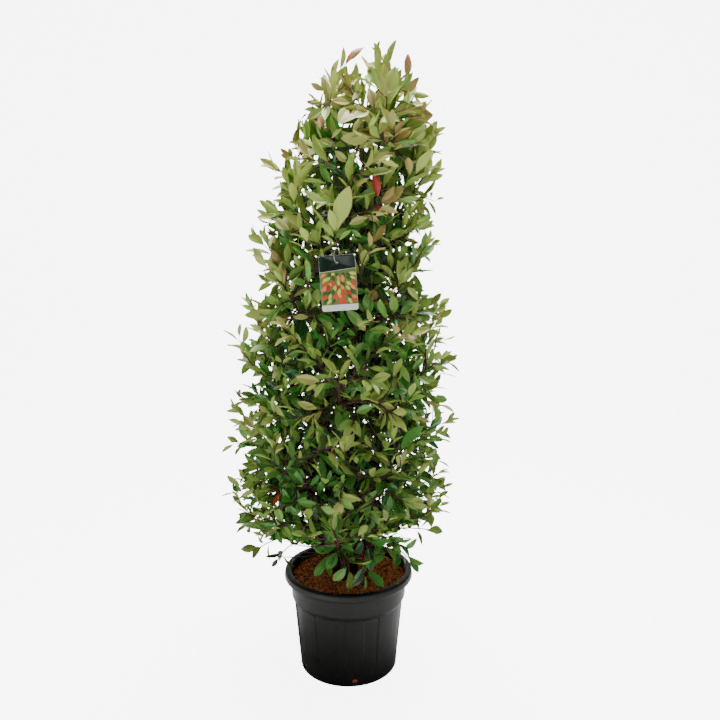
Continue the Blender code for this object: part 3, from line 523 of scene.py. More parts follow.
OCTAHEDRON = np.array([(1, 0, 0), (-1, 0, 0), (0, 1, 0), (0, -1, 0), (0, 0, 1), (0, 0, -1)], float)
OCTA_FACES = np.array([
    (0, 2, 4), (2, 1, 4), (1, 3, 4), (3, 0, 4), (2, 0, 5), (1, 2, 5), (3, 1, 5), (0, 3, 5),
])
CRUMBS = 2600
crumb_size = rng.uniform(0.0016, 0.0058, (CRUMBS, 1)) * rng.uniform(0.45, 1.5, (CRUMBS, 3))
crumb_points = np.einsum("kv,nk,nkw->nvw", OCTAHEDRON.T, crumb_size, turned(CRUMBS))
crumb_points += (on_soil(CRUMBS) + (0, 0, 0.0012))[:, None]
crumb_faces = (OCTA_FACES[None] + 6 * np.arange(CRUMBS)[:, None, None]).reshape(-1, 3)
crumb_finishes = [
    grained("crumb_dark", linear(166, 84, 50), 0.8, 1.0, 300.0, 0.6),
    grained("crumb_red", linear(255, 152, 98), 0.8, 1.0, 300.0, 0.6),
    grained("crumb_tan", linear(255, 226, 176), 0.8, 1.0, 300.0, 0.6),
]
crumb_kind = np.repeat(rng.choice(3, CRUMBS, p=(0.45, 0.38, 0.17)), len(OCTA_FACES))
crumbs = make_piece("soil_crumbs", crumb_points, [crumb_faces], crumb_finishes, [crumb_kind], sharp=20)
place(crumbs, ["soil"])


# %% Fibres
def many_tubes(lines, radii, sides):
    """Points and faces of many limbs at once. lines is limb by step by place, radii limb by step.

    Each limb ends in a point, and its start is a point too, so that every one is closed."""
    count, steps = lines.shape[:2]
    ahead = np.gradient(lines, axis=1)
    ahead /= np.maximum(np.linalg.norm(ahead, axis=2, keepdims=True), 1e-9)
    run = lines[:, -1] - lines[:, 0]
    steep = np.abs(run[:, 2]) > 0.9 * np.linalg.norm(run, axis=1)
    guide = np.cross(run, np.where(steep[:, None], (1.0, 0.0, 0.0), (0.31, 0.22, 0.92)))
    side = guide[:, None] - ahead * (ahead * guide[:, None]).sum(-1, keepdims=True)
    side /= np.maximum(np.linalg.norm(side, axis=2, keepdims=True), 1e-9)
    other = np.cross(ahead, side)
    turn = np.linspace(0, 2 * math.pi, sides, endpoint=False)[:, None]
    ring = side[:, :, None] * np.cos(turn) + other[:, :, None] * np.sin(turn)
    rings = (lines[:, :, None] + ring * radii[:, :, None, None]).reshape(count, -1, 3)
    tips = lines[:, -1:] + ahead[:, -1:] * radii[:, -1:, None]
    points = np.concatenate([rings, lines[:, :1], tips], axis=1)
    per, first = points.shape[1], np.arange(count)[:, None, None] * points.shape[1]
    j = np.arange(sides)
    k = (j + 1) % sides
    last = (steps - 1) * sides
    start = np.stack([k, j, np.full(sides, per - 2)], axis=1)
    end = np.stack([last + j, last + k, np.full(sides, per - 1)], axis=1)
    quads = (grid_quads(steps, sides)[None] + first).reshape(-1, 4)
    ends = (np.concatenate([start, end])[None] + first).reshape(-1, 3)
    return points.reshape(-1, 3), [quads, ends]


FIBRES = 900
fibre_start = on_soil(FIBRES, 0.222)
fibre_way = rng.normal(size=(FIBRES, 3)) * (1, 1, 0.22)
fibre_way /= np.linalg.norm(fibre_way, axis=1, keepdims=True)
fibre_bend = rng.normal(size=(FIBRES, 3)) * (0.004, 0.004, 0.003) + (0, 0, 0.003)
fibre_length = rng.uniform(0.008, 0.032, (FIBRES, 1))
t = np.linspace(0, 1, 5)[None, :, None]
fibre_lines = (fibre_start[:, None] + fibre_way[:, None] * fibre_length[:, None] * (t - 0.5)
               + 4 * t * (1 - t) * fibre_bend[:, None] + (0, 0, 0.0015))
inside_wall = np.hypot(fibre_lines[..., 0], fibre_lines[..., 1]).max(axis=1) < 0.2375
fibre_lines = fibre_lines[inside_wall]
fibre_radii = np.full(fibre_lines.shape[:2], 0.00045) * rng.uniform(0.6, 1.6, (len(fibre_lines), 1))
fibre_tan = grained("fibre_tan", linear(246, 190, 134), 0.7, 0.95, 400.0, 0.3)
fibres = make_piece("soil_fibres", *many_tubes(fibre_lines, fibre_radii, 3), [fibre_tan])
place(fibres, ["soil"])

# %% [markdown]
# The crown grows by the same rule as the frame's solids: an outline of radii by height round an axis
# that leans a little to the right, cut into tiers, and each tier into sectors. Each mass of foliage
# keeps to one sector. The numbers are the frame's own, so boughs and stems fall exactly where the
# solids are.
# %% Crown outline and tiers
OUTLINE_HEIGHTS = (0.44, 0.60, 0.85, 1.10, 1.38, 1.55, 1.72, 2.00, 2.16, 2.34, 2.46, 2.55, 2.595)
OUTLINE_RADII = (0.360, 0.430, 0.490, 0.485, 0.490, 0.430, 0.375, 0.375, 0.330, 0.285, 0.235, 0.190, 0.090)
LEAN_HEIGHTS = (0.44, 1.20, 1.80, 2.10, 2.595)
LEAN_OFFSETS = (-0.040, -0.030, -0.005, 0.045, 0.070)
CROWN_FLOOR, PLANT_TOP, GAP, TIER_MIDDLE = 0.446, 2.595, 0.0003, 0.150
# Each row: its floor's height at the axis and at the outline, its masses, the first one's azimuth, its name.
TIERS = (
    (0.470, 0.600, 5, -90.0, "skirt"), (0.640, 0.840, 5, -54.0, "low"), (0.880, 1.170, 5, -90.0, "middle"),
    (1.170, 1.560, 4, -45.0, "shoulder"), (1.480, 1.900, 3, -90.0, "upper"), (1.830, 2.180, 3, 180.0, "top"),
)
LEADER_TIPS = {
    "foliage_top_a": (-0.060, -0.020, 2.420), "foliage_top_b": (0.175, -0.070, 2.370),
    "foliage_top_c": (0.105, 0.030, 2.500),
}
CARD_ROOM = np.array([(-0.115, -0.70, 1.535), (0.065, -0.300, 1.930)])
HANGER = np.array([-0.032, -0.345, 1.775])
BOX_LOW, BOX_HIGH = np.array(cad_low) - 0.010, np.array(cad_high) + 0.010


def unit(v):
    """Vectors of length one: each is divided by the root of the sum of its squares."""
    return v / np.maximum(np.linalg.norm(v, axis=-1, keepdims=True), 1e-12)


def polar(azimuth, distance, height=0.0):
    """A point at a height, by the distance times the azimuth's cosine and sine."""
    return np.array([distance * math.cos(azimuth * DEG), distance * math.sin(azimuth * DEG), height])


def crown_radius(z):
    """The outline's radius at a height, in straight lines between its named heights."""
    return np.interp(z, OUTLINE_HEIGHTS, OUTLINE_RADII)


def crown_axis_x(z):
    """How far to the right the leaning axis stands at a height."""
    return np.interp(z, LEAN_HEIGHTS, LEAN_OFFSETS)


def crown_point(azimuth, share, z):
    """The point at a share of the crown's radius from its leaning axis."""
    return polar(azimuth, share * crown_radius(z), z) + np.array([crown_axis_x(z), 0.0, 0.0])


def crown_floor(r, y):
    """Height of the crown's underside: it rises outwards and to the front, so the soil shows."""
    return np.maximum(0.470 + 0.25 * r - 0.28 * y, CROWN_FLOOR)


def skirt_lift(x):
    """The leaves of the skirt end a little above that underside, and more so on the right."""
    return 0.02 + 0.05 * np.clip(x / 0.30, 0, 1)


def body_share(z):
    """Share of the outline that most shoots end within; only long shoots go further."""
    return np.interp(z, (0.44, 0.75, 1.05, 1.45, 1.90, 2.20, 2.36, 2.48, 2.58),
                     (0.74, 0.75, 0.73, 0.74, 0.76, 0.75, 0.74, 0.70, 0.64))


def tier_floor(tier, r):
    """Height of a tier's floor at a distance from the axis: a cone that rises to the outline."""
    if tier >= len(TIERS):
        return np.full_like(r, PLANT_TOP)
    at_axis, at_outline = TIERS[tier][:2]
    return at_axis + (at_outline - at_axis) * r / crown_radius(at_outline)


print(f"crown {2 * max(OUTLINE_RADII):.2f} m wide, {sum(t[2] for t in TIERS)} masses")


# %% Room for a mass, and limbs to keep clear of
class Space:
    """The sector of a tier that one mass keeps to, out to its reach of the outline.

    With a lap, leaves may cross into the neighbouring sectors and tiers by that much, as real ones do.
    The share moves the outline in or out, and nothing passes the frame's own box by more than a
    centimetre."""

    def __init__(self, tier, azimuth, half, reach):
        self.tier, self.azimuth, self.half, self.reach = tier, azimuth, half, reach

    def holds(self, points, lap=-0.0022, share=1.0):
        """Whether each point is inside. The distance to the sector's nearer flat wall is r times the sine
        of the angle that is left to it."""
        x, y, z = points[:, 0] - crown_axis_x(points[:, 2]), points[:, 1], points[:, 2]
        r = np.hypot(x, y)
        off = np.abs((np.degrees(np.arctan2(y, x)) - self.azimuth + 180) % 360 - 180)
        inside = z > (crown_floor(r, y) + skirt_lift(x) if self.tier == 0 else tier_floor(self.tier, r) - lap)
        inside &= (z < np.minimum(tier_floor(self.tier + 1, r) + lap, PLANT_TOP))
        inside &= r < crown_radius(z) * self.reach * share
        inside &= r * np.sin(np.radians(np.clip(self.half - off, -90, 90))) > -lap
        inside &= ((points > BOX_LOW) & (points < BOX_HIGH)).all(axis=1)
        return inside & ~((points > CARD_ROOM[0]) & (points < CARD_ROOM[1])).all(axis=1)


class Limbs:
    """Every stem and bough as short straight lengths with a radius, to keep clear of."""

    def __init__(self):
        self.starts, self.ends, self.radii = [], [], []

    def add(self, path, radii):
        """One limb more: each of its straight lengths has the greater radius of its two ends."""
        self.starts.extend(path[:-1])
        self.ends.extend(path[1:])
        self.radii.extend(np.maximum(radii[:-1], radii[1:]))

    def clearance(self, points):
        """Distance from the nearest limb's surface to each point: the point is dropped squarely on the
        length, within its two ends, and the radius is taken off."""
        a, b = np.array(self.starts), np.array(self.ends)
        run = b - a
        t = np.clip(((points[:, None] - a) * run).sum(-1) / (run * run).sum(-1), 0, 1)
        return (np.linalg.norm(points[:, None] - a - run * t[..., None], axis=-1) - self.radii).min(axis=1)


# %% [markdown]
# Stems: five of them rise from the soil as a clump, each with a short root flare, and bend outwards
# and then upright. Each is a Bezier curve with a taper. A bough leaves its stem squarely and bends up
# into its mass. Both follow the frame's own rule, and their bark comes after it.
# %% Stem lines
# Each row: its name, its foot's azimuth and distance, its head's, its top, its two radii, what it feeds.
STEMS = (
    ("stem_main", 20.0, 0.022, 40.0, 0.022, 2.12, 0.0165, 0.0050, "foliage_top_c"),
    ("stem_left", 165.0, 0.050, 185.0, 0.115, 2.02, 0.0140, 0.0048, "foliage_top_a"),
    ("stem_right", -12.0, 0.078, -45.0, 0.115, 1.99, 0.0120, 0.0045, "foliage_top_b"),
    ("stem_back", 100.0, 0.062, 40.0, 0.120, 1.68, 0.0120, 0.0045, "foliage_upper_b"),
    ("stem_front", -100.0, 0.058, -92.0, 0.110, 1.66, 0.0115, 0.0045, "foliage_upper_a"),
)
FLARE_HEIGHT, FLARE = 0.060, 0.55
BOUGH_FOOT, BOUGH_END, BOUGH_CLEAR, BOUGH_STEPS = 0.0068, 0.0046, 0.0015, 4
limbs, stems = Limbs(), {}
for name, foot_az, foot_out, head_az, head_out, top, foot_radius, head_radius, _ in STEMS:
    foot = polar(foot_az, foot_out, SOIL_TOP + GAP)
    head = polar(head_az, head_out, top) + np.array([crown_axis_x(top), 0.0, 0.0])
    rise = top - foot[2]
    belly = foot + polar(foot_az, 0.45 * foot_out + 0.35 * head_out, 0.40 * rise)
    path = bezier((foot, belly, head - np.array([0.0, 0.0, 0.35 * rise]), head), 8)
    flare_top = path[0] + (path[1] - path[0]) * FLARE_HEIGHT / (path[1][2] - path[0][2])
    path = np.vstack([path[:1], path[:1] * 0.6 + flare_top * 0.4, flare_top, path[1:]])
    climbed = path[:, 2] - path[0, 2]
    radii = foot_radius + (head_radius - foot_radius) * climbed / climbed[-1]
    radii = radii * (1 + FLARE * np.clip(1 - climbed / FLARE_HEIGHT, 0, 1) ** 2)
    limbs.add(path, radii)
    stems[name] = (path, radii)
print("stems:", ", ".join(stems))


# %% Boughs by the frame's rule
def on_path(path, radii, height):
    """Place, direction and radius of a stem at a height."""
    z = path[:, 2]
    at = np.array([np.interp(height, z, path[:, i]) for i in range(3)])
    i = min(int(np.searchsorted(z, height)), len(z) - 1)
    return at, unit(path[i] - path[i - 1]), float(np.interp(height, z, radii))


def bough_line(stem, tip, tip_direction, rise):
    """A bough that leaves its stem squarely, just clear of the bark, and bends up to its tip."""
    path, radii = stem
    flat = np.hypot(tip[0] - path[:, 0], tip[1] - path[:, 1]).min()
    at, upward, radius = on_path(path, radii, max(tip[2] - rise * flat, SOIL_TOP + 0.075))
    out = unit(np.array([tip[0] - at[0], tip[1] - at[1], 0.0]))
    out = unit(out - upward * np.dot(out, upward))
    start = at + out * (radius + GAP)
    length = np.linalg.norm(tip - start)
    line = bezier(
        (start, start + out * 0.30 * length, tip - tip_direction * 0.35 * length, tip), BOUGH_STEPS)
    line[1] = start + out * np.dot(line[1] - start, out)
    line[-2] = tip - tip_direction * np.dot(tip - line[-2], tip_direction)
    return line


def along(line, steps=8):
    """Points close together along a line of straight lengths."""
    shares = np.linspace(0.0, 1.0, steps, endpoint=False)
    return np.array([a + (b - a) * t for a, b in zip(line, line[1:]) for t in shares] + [line[-1]])


def choose_bough(tip, tip_direction):
    """The line to a tip from the nearest stem from which it runs clear of the other limbs, or None."""
    def distance(name):
        at, _, _ = on_path(*stems[name], tip[2] - 0.10)
        return np.hypot(tip[0] - at[0], tip[1] - at[1]) + max(0.0, tip[2] - 0.10 - at[2])

    for name in sorted(stems, key=distance):
        for rise in (0.55, 0.75, 0.40, 0.95, 0.25, 0.10):
            line = bough_line(stems[name], tip, tip_direction, rise)
            fine = along(line)
            away = np.linalg.norm(fine - line[0], axis=1) > 0.030
            if away.any() and limbs.clearance(fine[away]).min() > BOUGH_FOOT + BOUGH_CLEAR:
                return line
    return None


def place_bough(space, target):
    """A bough into a mass's space, with its tip moved until one runs clear."""
    for out in (0.42, 0.48, 0.36, 0.54):
        inner = np.array([out * crown_radius(TIERS[space.tier][1])])
        low, high = tier_floor(space.tier, inner)[0], tier_floor(space.tier + 1, inner)[0]
        for share in (0.38, 0.28, 0.50):
            for turn in (0.0, 9.0, -9.0, 18.0, -18.0):
                tip = crown_point(space.azimuth + turn, out, low + share * (high - low))
                ahead = unit(unit(target - tip) + np.array([0.0, 0.0, 0.15]))
                line = choose_bough(tip, ahead)
                if line is not None:
                    return line, ahead
    raise ValueError(f"no stem reaches the space at {space.azimuth} degrees in tier {space.tier}")


# %% A bough for each mass
fed_by = {row[-1]: row[0] for row in STEMS}
order = random.Random(41)
boughs, masses = {}, []
for tier, (_, _, count, first, tier_name) in enumerate(TIERS):
    for k in range(count):
        name = f"foliage_{tier_name}_{'abcde'[k]}"
        azimuth = first + k * 360.0 / count
        space = Space(tier, azimuth, 180.0 / count, order.uniform(0.96, 1.04))
        outer = np.array([0.8 * crown_radius(TIERS[tier][1] + TIER_MIDDLE)])
        low, high = tier_floor(tier, outer)[0], tier_floor(tier + 1, outer)[0]
        masses.append([name, space, crown_point(azimuth, 0.80 * space.reach, 0.45 * low + 0.55 * high)])
for mass in masses:
    name, space, target = mass
    if name in fed_by:
        path = stems[fed_by[name]][0]
        tip, ahead = path[-1], unit(path[-1] - path[-2])
    else:
        line, ahead = place_bough(space, target)
        tip = line[-1]
        boughs[name.replace("foliage", "bough")] = line
        limbs.add(line, np.linspace(BOUGH_FOOT, BOUGH_END, len(line)))
    mass.extend([tip, ahead, np.array(LEADER_TIPS.get(name, target))])
card_way = unit(np.array([0.05, -1.0, 0.12]))
card_tip = HANGER + card_way * 0.022
boughs["bough_card"] = choose_bough(card_tip, card_way)
limbs.add(boughs["bough_card"], np.linspace(BOUGH_FOOT, BOUGH_END, BOUGH_STEPS + 1))
print(len(boughs), "boughs")

# %% [markdown]
# The bark of a photinia is dark red-brown and ridged lengthwise, with slight swellings where leaves
# once stood. Real relief shows at the edge of a stem, so the ridges are in the tube itself, as sines of
# the angle and the length. The finer cracks are only bump and colour, from noise stretched upwards.
# %% Bark relief
def smooth_line(line, steps):
    """A curve through the line's points, each stretch the cubic whose ends head for the next points."""
    padded = np.vstack([2 * line[0] - line[1], line, 2 * line[-1] - line[-2]])
    a, b, c, d = (padded[i:len(padded) - 3 + i, None] for i in range(4))
    t = np.linspace(0, 1, steps, endpoint=False)[None, :, None]
    curve = 0.5 * (2 * b + (c - a) * t + (2 * a - 5 * b + 4 * c - d) * t**2 + (3 * b - a - 3 * c + d) * t**3)
    return np.vstack([curve.reshape(-1, 3), line[-1:]])


def bark_tube(line, radii, steps, sides, relief, phase):
    """A limb whose radius is its taper times one plus ridges: sines of the angle that drift with the
    length, and rarer swellings at old leaf joints."""
    fine = smooth_line(line, steps)
    share = np.linspace(0, 1, len(fine))
    taper = np.interp(share, np.linspace(0, 1, len(radii)), radii)
    reached = np.concatenate([[0], np.cumsum(np.linalg.norm(np.diff(fine, axis=0), axis=1))])[:, None]
    turn = np.linspace(0, 2 * math.pi, sides, endpoint=False)[None, :]
    ridges = np.sin(3 * turn + 9 * reached + phase) + 0.7 * np.sin(5 * turn - 23 * reached + 2 * phase)
    ridges = ridges + 0.6 * np.sin(7 * turn + 61 * reached) * np.sin(130 * reached + phase)
    joints = np.clip(np.sin(2 * math.pi * reached / 0.072 + phase), 0.8, 1) - 0.8
    return tube(fine, taper[:, None] * (1 + relief * ridges + 0.5 * joints), sides)


def joined(parts):
    """One set of points and faces from several."""
    points, faces, first = [], {}, 0
    for some_points, face_sets in parts:
        for f in face_sets:
            faces.setdefault(f.shape[1], []).append(f + first)
        points.append(some_points)
        first += len(some_points)
    return np.concatenate(points), [np.concatenate(f) for f in faces.values()]


# %% Bark finish
bark, bark_tree, bark_shader = plain("bark", linear(84, 58, 46), 0.8, 0.3)
where = add(bark_tree, "ShaderNodeTexCoord").outputs["Object"]
stretched = add(bark_tree, "ShaderNodeMapping", [(where, "Vector")], Scale=(1.0, 1.0, 0.28))
fissure = add(bark_tree, "ShaderNodeTexNoise", [(stretched.outputs["Vector"], "Vector")],
              Scale=170.0, Detail=8.0, Roughness=0.65)
tone = add(bark_tree, "ShaderNodeValToRGB", [(fissure.outputs["Fac"], "Fac")])
tone.color_ramp.elements[0].position, tone.color_ramp.elements[1].position = 0.35, 0.68
tone.color_ramp.elements[0].color = (*linear(30, 20, 16), 1)
tone.color_ramp.elements[1].color = (*linear(98, 74, 58), 1)
bark_tree.links.new(tone.outputs["Color"], bark_shader.inputs["Base Color"])
ridge = add(bark_tree, "ShaderNodeBump", [(fissure.outputs["Fac"], "Height")], Strength=0.6, Distance=0.0012)
bark_tree.links.new(ridge.outputs["Normal"], bark_shader.inputs["Normal"])
print("bark finish with", len(bark_tree.nodes), "nodes")

# %% Stems and boughs
STEM_SUNK, STEM_SPREAD, BOUGH_SUNK = 0.016, 1.05, 0.05
BARK_COLLAR, BARK_FOOT, BARK_END = 0.0085, 0.0072, 0.0044
stem_parts = []
for i, (path, radii) in enumerate(stems.values()):
    sunk = np.vstack([path[:1] - (0, 0, STEM_SUNK), path])
    widths = np.concatenate([radii[:1] * STEM_SPREAD, radii])
    stem_parts.append(bark_tube(sunk, widths, 18, 20, 0.022, 1.7 * i))
stem_piece = make_piece("stems", *joined(stem_parts), [bark])
place(stem_piece, named("stem_"))
bough_parts = []
for i, line in enumerate(boughs.values()):
    into = np.vstack([line[:1] - (line[1:2] - line[:1]) * BOUGH_SUNK, line])
    widths = np.concatenate([[BARK_COLLAR], np.linspace(BARK_FOOT, BARK_END, len(line))])
    bough_parts.append(bark_tube(into, widths, 8, 12, 0.03, 2.3 * i))
bough_piece = make_piece("boughs", *joined(bough_parts), [bark])
place(bough_piece, named("bough_"))

# %% [markdown]
# Each mass now grows on from its limb: a stem, side shoots to points spread through the mass's space,
# and finer twigs to more points between them. Every line is the same quadratic curve that leaves its
# parent forwards and bends to its end. Working on all the shoots of a mass at once keeps this quick.
# Some numbers go tier by tier, from the lowest to the top.
# %% Points for shoots to reach
grow = np.random.default_rng(23)
LEAF_ROOM = (0.050, 0.050, 0.050, 0.055, 0.070, 0.175)
TRIES, LIMB_ROOM, TWIG_ROOM = 1600, 0.015, 0.004


def spread_points(space, count, ends, power):
    """Points of a space that stand well apart. Each is the random one furthest from those before, give
    or take a chance. Its share of the crown's body is a random number between the ends, raised to the
    power, and leaves need the tier's leaf room above it."""
    azimuth = space.azimuth + space.half * grow.uniform(-0.96, 0.96, TRIES)
    share = space.reach * grow.uniform(*ends, TRIES) ** power
    middle = TIERS[space.tier][1] + TIER_MIDDLE
    r = share * body_share(middle) * crown_radius(middle)
    low, high = tier_floor(space.tier, r), tier_floor(space.tier + 1, r)
    z = low + (high - low) * grow.uniform(0.04, 0.96, TRIES)
    out = share * body_share(z) * crown_radius(z)
    points = np.stack([out * np.cos(azimuth * DEG) + crown_axis_x(z), out * np.sin(azimuth * DEG), z], axis=1)
    points = points[space.holds(points) & space.holds(points + (0, 0, LEAF_ROOM[space.tier]), 0.02)]
    points = points[limbs.clearance(points) > LIMB_ROOM]
    chosen, room = [], np.full(len(points), 9.0)
    for _ in range(min(count, len(points))):
        best = int(np.argmax(room * grow.uniform(0.22, 1.0, len(points))))
        chosen.append(points[best])
        room = np.minimum(room, np.linalg.norm(points - points[best], axis=1))
    return np.array(chosen).reshape(-1, 3)


# %% Curves of the shoots
def at_share(curves, t):
    """Points of quadratic curves at shares t: corner weights (1-t)^2, 2t(1-t) and t^2."""
    t = t[..., None]
    a, b, c = (curves[:, i][:, None] for i in range(3))
    return (1 - t) ** 2 * a + 2 * t * (1 - t) * b + t**2 * c


def heading_at(curves, t):
    """Unit directions of quadratic curves at shares t: the first leg and the second, mixed 1-t to t."""
    t = t[..., None]
    a, b, c = (curves[:, i][:, None] for i in range(3))
    return unit((1 - t) * (b - a) + t * (c - b))


def shoots_to(targets, parents, headings, upturn):
    """Curves from the nearest parent points that let a shoot leave forwards to each target. A start
    that it would leave sideways counts as 2.2 times as far. The middle corner moves low and out by the
    upturn, so that the end stands more upright."""
    way = targets[:, None] - parents[None]
    far = np.linalg.norm(way, axis=-1)
    forwards = (way * headings[None]).sum(-1) / np.maximum(far, 1e-9) > 0.35
    best = np.argmin(far * np.where(forwards, 1.0, 2.2), axis=1)
    start = parents[best]
    length = np.linalg.norm(targets - start, axis=1, keepdims=True)
    lead = unit(headings[best] + unit(targets - start))
    straight, low_and_out = start + lead * 0.5 * length, start + (targets - start) * (0.85, 0.85, 0.25)
    return np.stack([start, (1 - upturn) * straight + upturn * low_and_out, targets], axis=1)


def points_on(curves, count, first=0.25):
    """Points and headings at even shares along every curve, as flat lists."""
    t = np.broadcast_to(np.linspace(first, 1.0, count), (len(curves), count))
    return at_share(curves, t).reshape(-1, 3), heading_at(curves, t).reshape(-1, 3)


def thin_out(curves):
    """The curves whose middles keep clear of every limb."""
    t = np.broadcast_to(np.linspace(0.35, 0.95, 5), (len(curves), 5))
    room = limbs.clearance(at_share(curves, t).reshape(-1, 3)).reshape(len(curves), 5)
    return curves[room.min(axis=1) > TWIG_ROOM]


# %% Grow every mass
SIDE_SHOOTS, FINE_TWIGS, LONG_SHOOTS = 9, (33, 45, 51, 50, 51, 40), (6, 6, 6, 6, 7, 7)
UPTURN = (0.10, 0.12, 0.20, 0.35, 0.60, 0.70)
# The furthest tips and leaders, as they stand out of the crown when it is seen from the front.
FAR_TIPS = np.array([
    (-0.455, -0.030, 1.12), (-0.430, -0.040, 0.69), (0.400, -0.020, 1.33), (0.350, 0.0, 1.97),
    (-0.228, -0.020, 1.965), (0.264, -0.020, 2.15), (-0.158, -0.020, 2.302), (-0.079, -0.020, 2.383),
    (-0.001, -0.030, 2.488), (0.228, -0.030, 2.445), (0.080, 0.0, 2.520), (0.138, -0.010, 2.505),
])
grown = []
for _, space, _, tip, ahead, target in masses:
    upturn = UPTURN[space.tier]
    length = np.linalg.norm(target - tip)
    root = tip + ahead * GAP
    main = np.array([[root, root + ahead * 0.5 * length, target]])
    parents, headings = points_on(main, 8)
    ends = spread_points(space, SIDE_SHOOTS, (0.25, 0.95), 0.7)
    side = thin_out(shoots_to(ends, parents, headings, upturn))
    more, more_headings = points_on(side, 6)
    parents, headings = np.concatenate([parents, more]), np.concatenate([headings, more_headings])
    ends = spread_points(space, FINE_TWIGS[space.tier], (0.06, 1.0), 0.5)
    twigs = thin_out(shoots_to(ends, parents, headings, upturn))
    ends = spread_points(space, LONG_SHOOTS[space.tier], (1.08, 1.24), 1.0)
    ends = np.concatenate([ends, FAR_TIPS[space.holds(FAR_TIPS, 0.0, 1.2)]])
    long_ones = thin_out(shoots_to(ends, parents, headings, 0.5 * upturn))
    grown.append((space, main, side, twigs, long_ones))
print(sum(len(curves) for kinds in grown for curves in kinds[2:]), "shoots and twigs")

# %% [markdown]
# Leaves are leathery, pointed ovals with a pale midrib, in sprays round the ends of the shoots. They
# are about 8 cm long low down and 11 cm at the top. One leaf is a surface of two parameters: the share
# of its length, and the place across it. All leaves of a tier are computed in one array and joined,
# because one big mesh renders and exports much faster than thousands of objects. Each leaf has only a
# few dozen faces.
# %% Leaf shape
ROWS = np.array([0.14, 0.34, 0.56, 0.76, 0.91])
ACROSS = np.array([-1.0, -0.52, -0.07, 0.07, 0.52, 1.0])
LEAF_RING = len(ACROSS) + 1
MIDRIB, RIB_SINK, KEEL_SINK, OUTLINE_MOST = 0.2, 0.0010, 0.0016, 0.2339


def leaf_blades(base, axis, normal, length, width, bend, fold, wave):
    """Points of many leaves, leaf by point by place: rows of six points over the upper side and a keel
    under the midrib, then the base and the tip.

    Half width at share t of the length is t^1.1 (1-t), scaled to its most. The midrib sags by
    bend times t squared, and the halves rise from it by the fold and bulge a little. The edge waves by
    a sine of the length."""
    across = np.cross(normal, axis)
    outline = ROWS**1.1 * (1 - ROWS) / OUTLINE_MOST
    half = 0.5 * width[:, None, None] * outline[None, :, None]
    c = np.broadcast_to(ACROSS, (len(base), len(ROWS), len(ACROSS)))
    lift = half * (fold[:, None, None] * np.abs(c) + 0.10 * np.sin(math.pi * np.abs(c)))
    ripple = wave[:, None, None] * half * np.abs(c) ** 2 * np.sin(14 * ROWS[None, :, None] + 5 * c)
    sag = -bend[:, None] * ROWS[None] ** 2 * length[:, None]
    rise = lift + ripple + sag[..., None] - RIB_SINK * (np.abs(c) < MIDRIB)
    place_along = base[:, None] + axis[:, None] * (ROWS[None, :, None] * length[:, None, None])
    upper = (place_along[:, :, None] + across[:, None, None] * (c * half)[..., None]
             + normal[:, None, None] * rise[..., None])
    keel = place_along + normal[:, None] * (sag - KEEL_SINK)[..., None]
    rings = np.concatenate([upper, keel[:, :, None]], axis=2).reshape(len(base), -1, 3)
    tip = base + axis * length[:, None] - normal * (bend * length)[:, None]
    return np.concatenate([rings, base[:, None], tip[:, None]], axis=1)


def leaf_pattern():
    """Quads and end triangles of one leaf, and for each the kind of face: 0 blade, 1 rib, 2 underside."""
    quads = grid_quads(len(ROWS), LEAF_RING)
    j = np.arange(LEAF_RING)
    k = (j + 1) % LEAF_RING
    base, last = len(ROWS) * LEAF_RING, (len(ROWS) - 1) * LEAF_RING
    ends = np.concatenate([
        np.stack([k, j, np.full(LEAF_RING, base)], axis=1),
        np.stack([last + j, last + k, np.full(LEAF_RING, base + 1)], axis=1),
    ])
    kinds = np.array([0, 0, 1, 0, 0, 2, 2])
    return quads, ends, np.tile(kinds, len(ROWS) - 1), np.tile(kinds, 2)


LEAF_QUADS, LEAF_ENDS, QUAD_KINDS, END_KINDS = leaf_pattern()
LEAF_UV = np.concatenate([
    np.stack([np.tile(np.append(ACROSS * 0.5 + 0.5, 0.5), len(ROWS)), np.repeat(ROWS, LEAF_RING)], axis=1),
    [(0.5, 0.0), (0.5, 1.0)],
])
print(len(LEAF_QUADS) + len(LEAF_ENDS), "faces in a leaf")

# %% [markdown]
# Leaf colours: leaves inside the crown are dark and glossy, those of the outside are mid green, and the
# young ones high up are yellow-green, some tinged bronze or pink. The dark inside is partly the age of
# the leaves and partly painted shade, and the paler outside and top are partly painted light. Each
# spray gets one plain colour out of a row of materials, with its newest leaves a step paler and its
# oldest a few steps darker, which is partly age and partly painted shade deep in the spray.
# Undersides and midribs are paler. The skin's roughness and its side veins come from a shared group
# that reads the leaf's own map: the veins are a sine of the length that runs back from the midrib.
# %% Leaf skin
VEIN_SLANT, VEIN_COUNT, GLOSS_SPAN = -0.42, 62.0, 0.22
skin, s_in, s_out = new_group(
    "leaf_skin",
    (("Map", VECTOR, None), ("Place", VECTOR, None), ("Gloss", FLOAT, 0.36)),
    (("Roughness", FLOAT), ("Height", FLOAT)),
)
split = add(skin, "ShaderNodeSeparateXYZ", [(s_in.outputs["Map"], "Vector")])
from_rib = add(skin, "ShaderNodeMath", [(split.outputs["X"], 0)], operation="SUBTRACT")
from_rib.inputs[1].default_value = 0.5
away = add(skin, "ShaderNodeMath", [(from_rib.outputs["Value"], 0)], operation="ABSOLUTE")
slant = add(skin, "ShaderNodeMath", [(away.outputs["Value"], 0), (split.outputs["Y"], 2)],
            operation="MULTIPLY_ADD")
slant.inputs[1].default_value = VEIN_SLANT
waves = add(skin, "ShaderNodeMath", [(slant.outputs["Value"], 0)], operation="MULTIPLY")
waves.inputs[1].default_value = VEIN_COUNT
veins = add(skin, "ShaderNodeMath", [(waves.outputs["Value"], 0)], operation="SINE")
mottle = add(skin, "ShaderNodeTexNoise", [(s_in.outputs["Place"], "Vector")], Scale=70.0, Detail=3.0)
relief_sum = add(skin, "ShaderNodeMath", [(veins.outputs["Value"], 0), (mottle.outputs["Fac"], 1)],
                 operation="ADD")
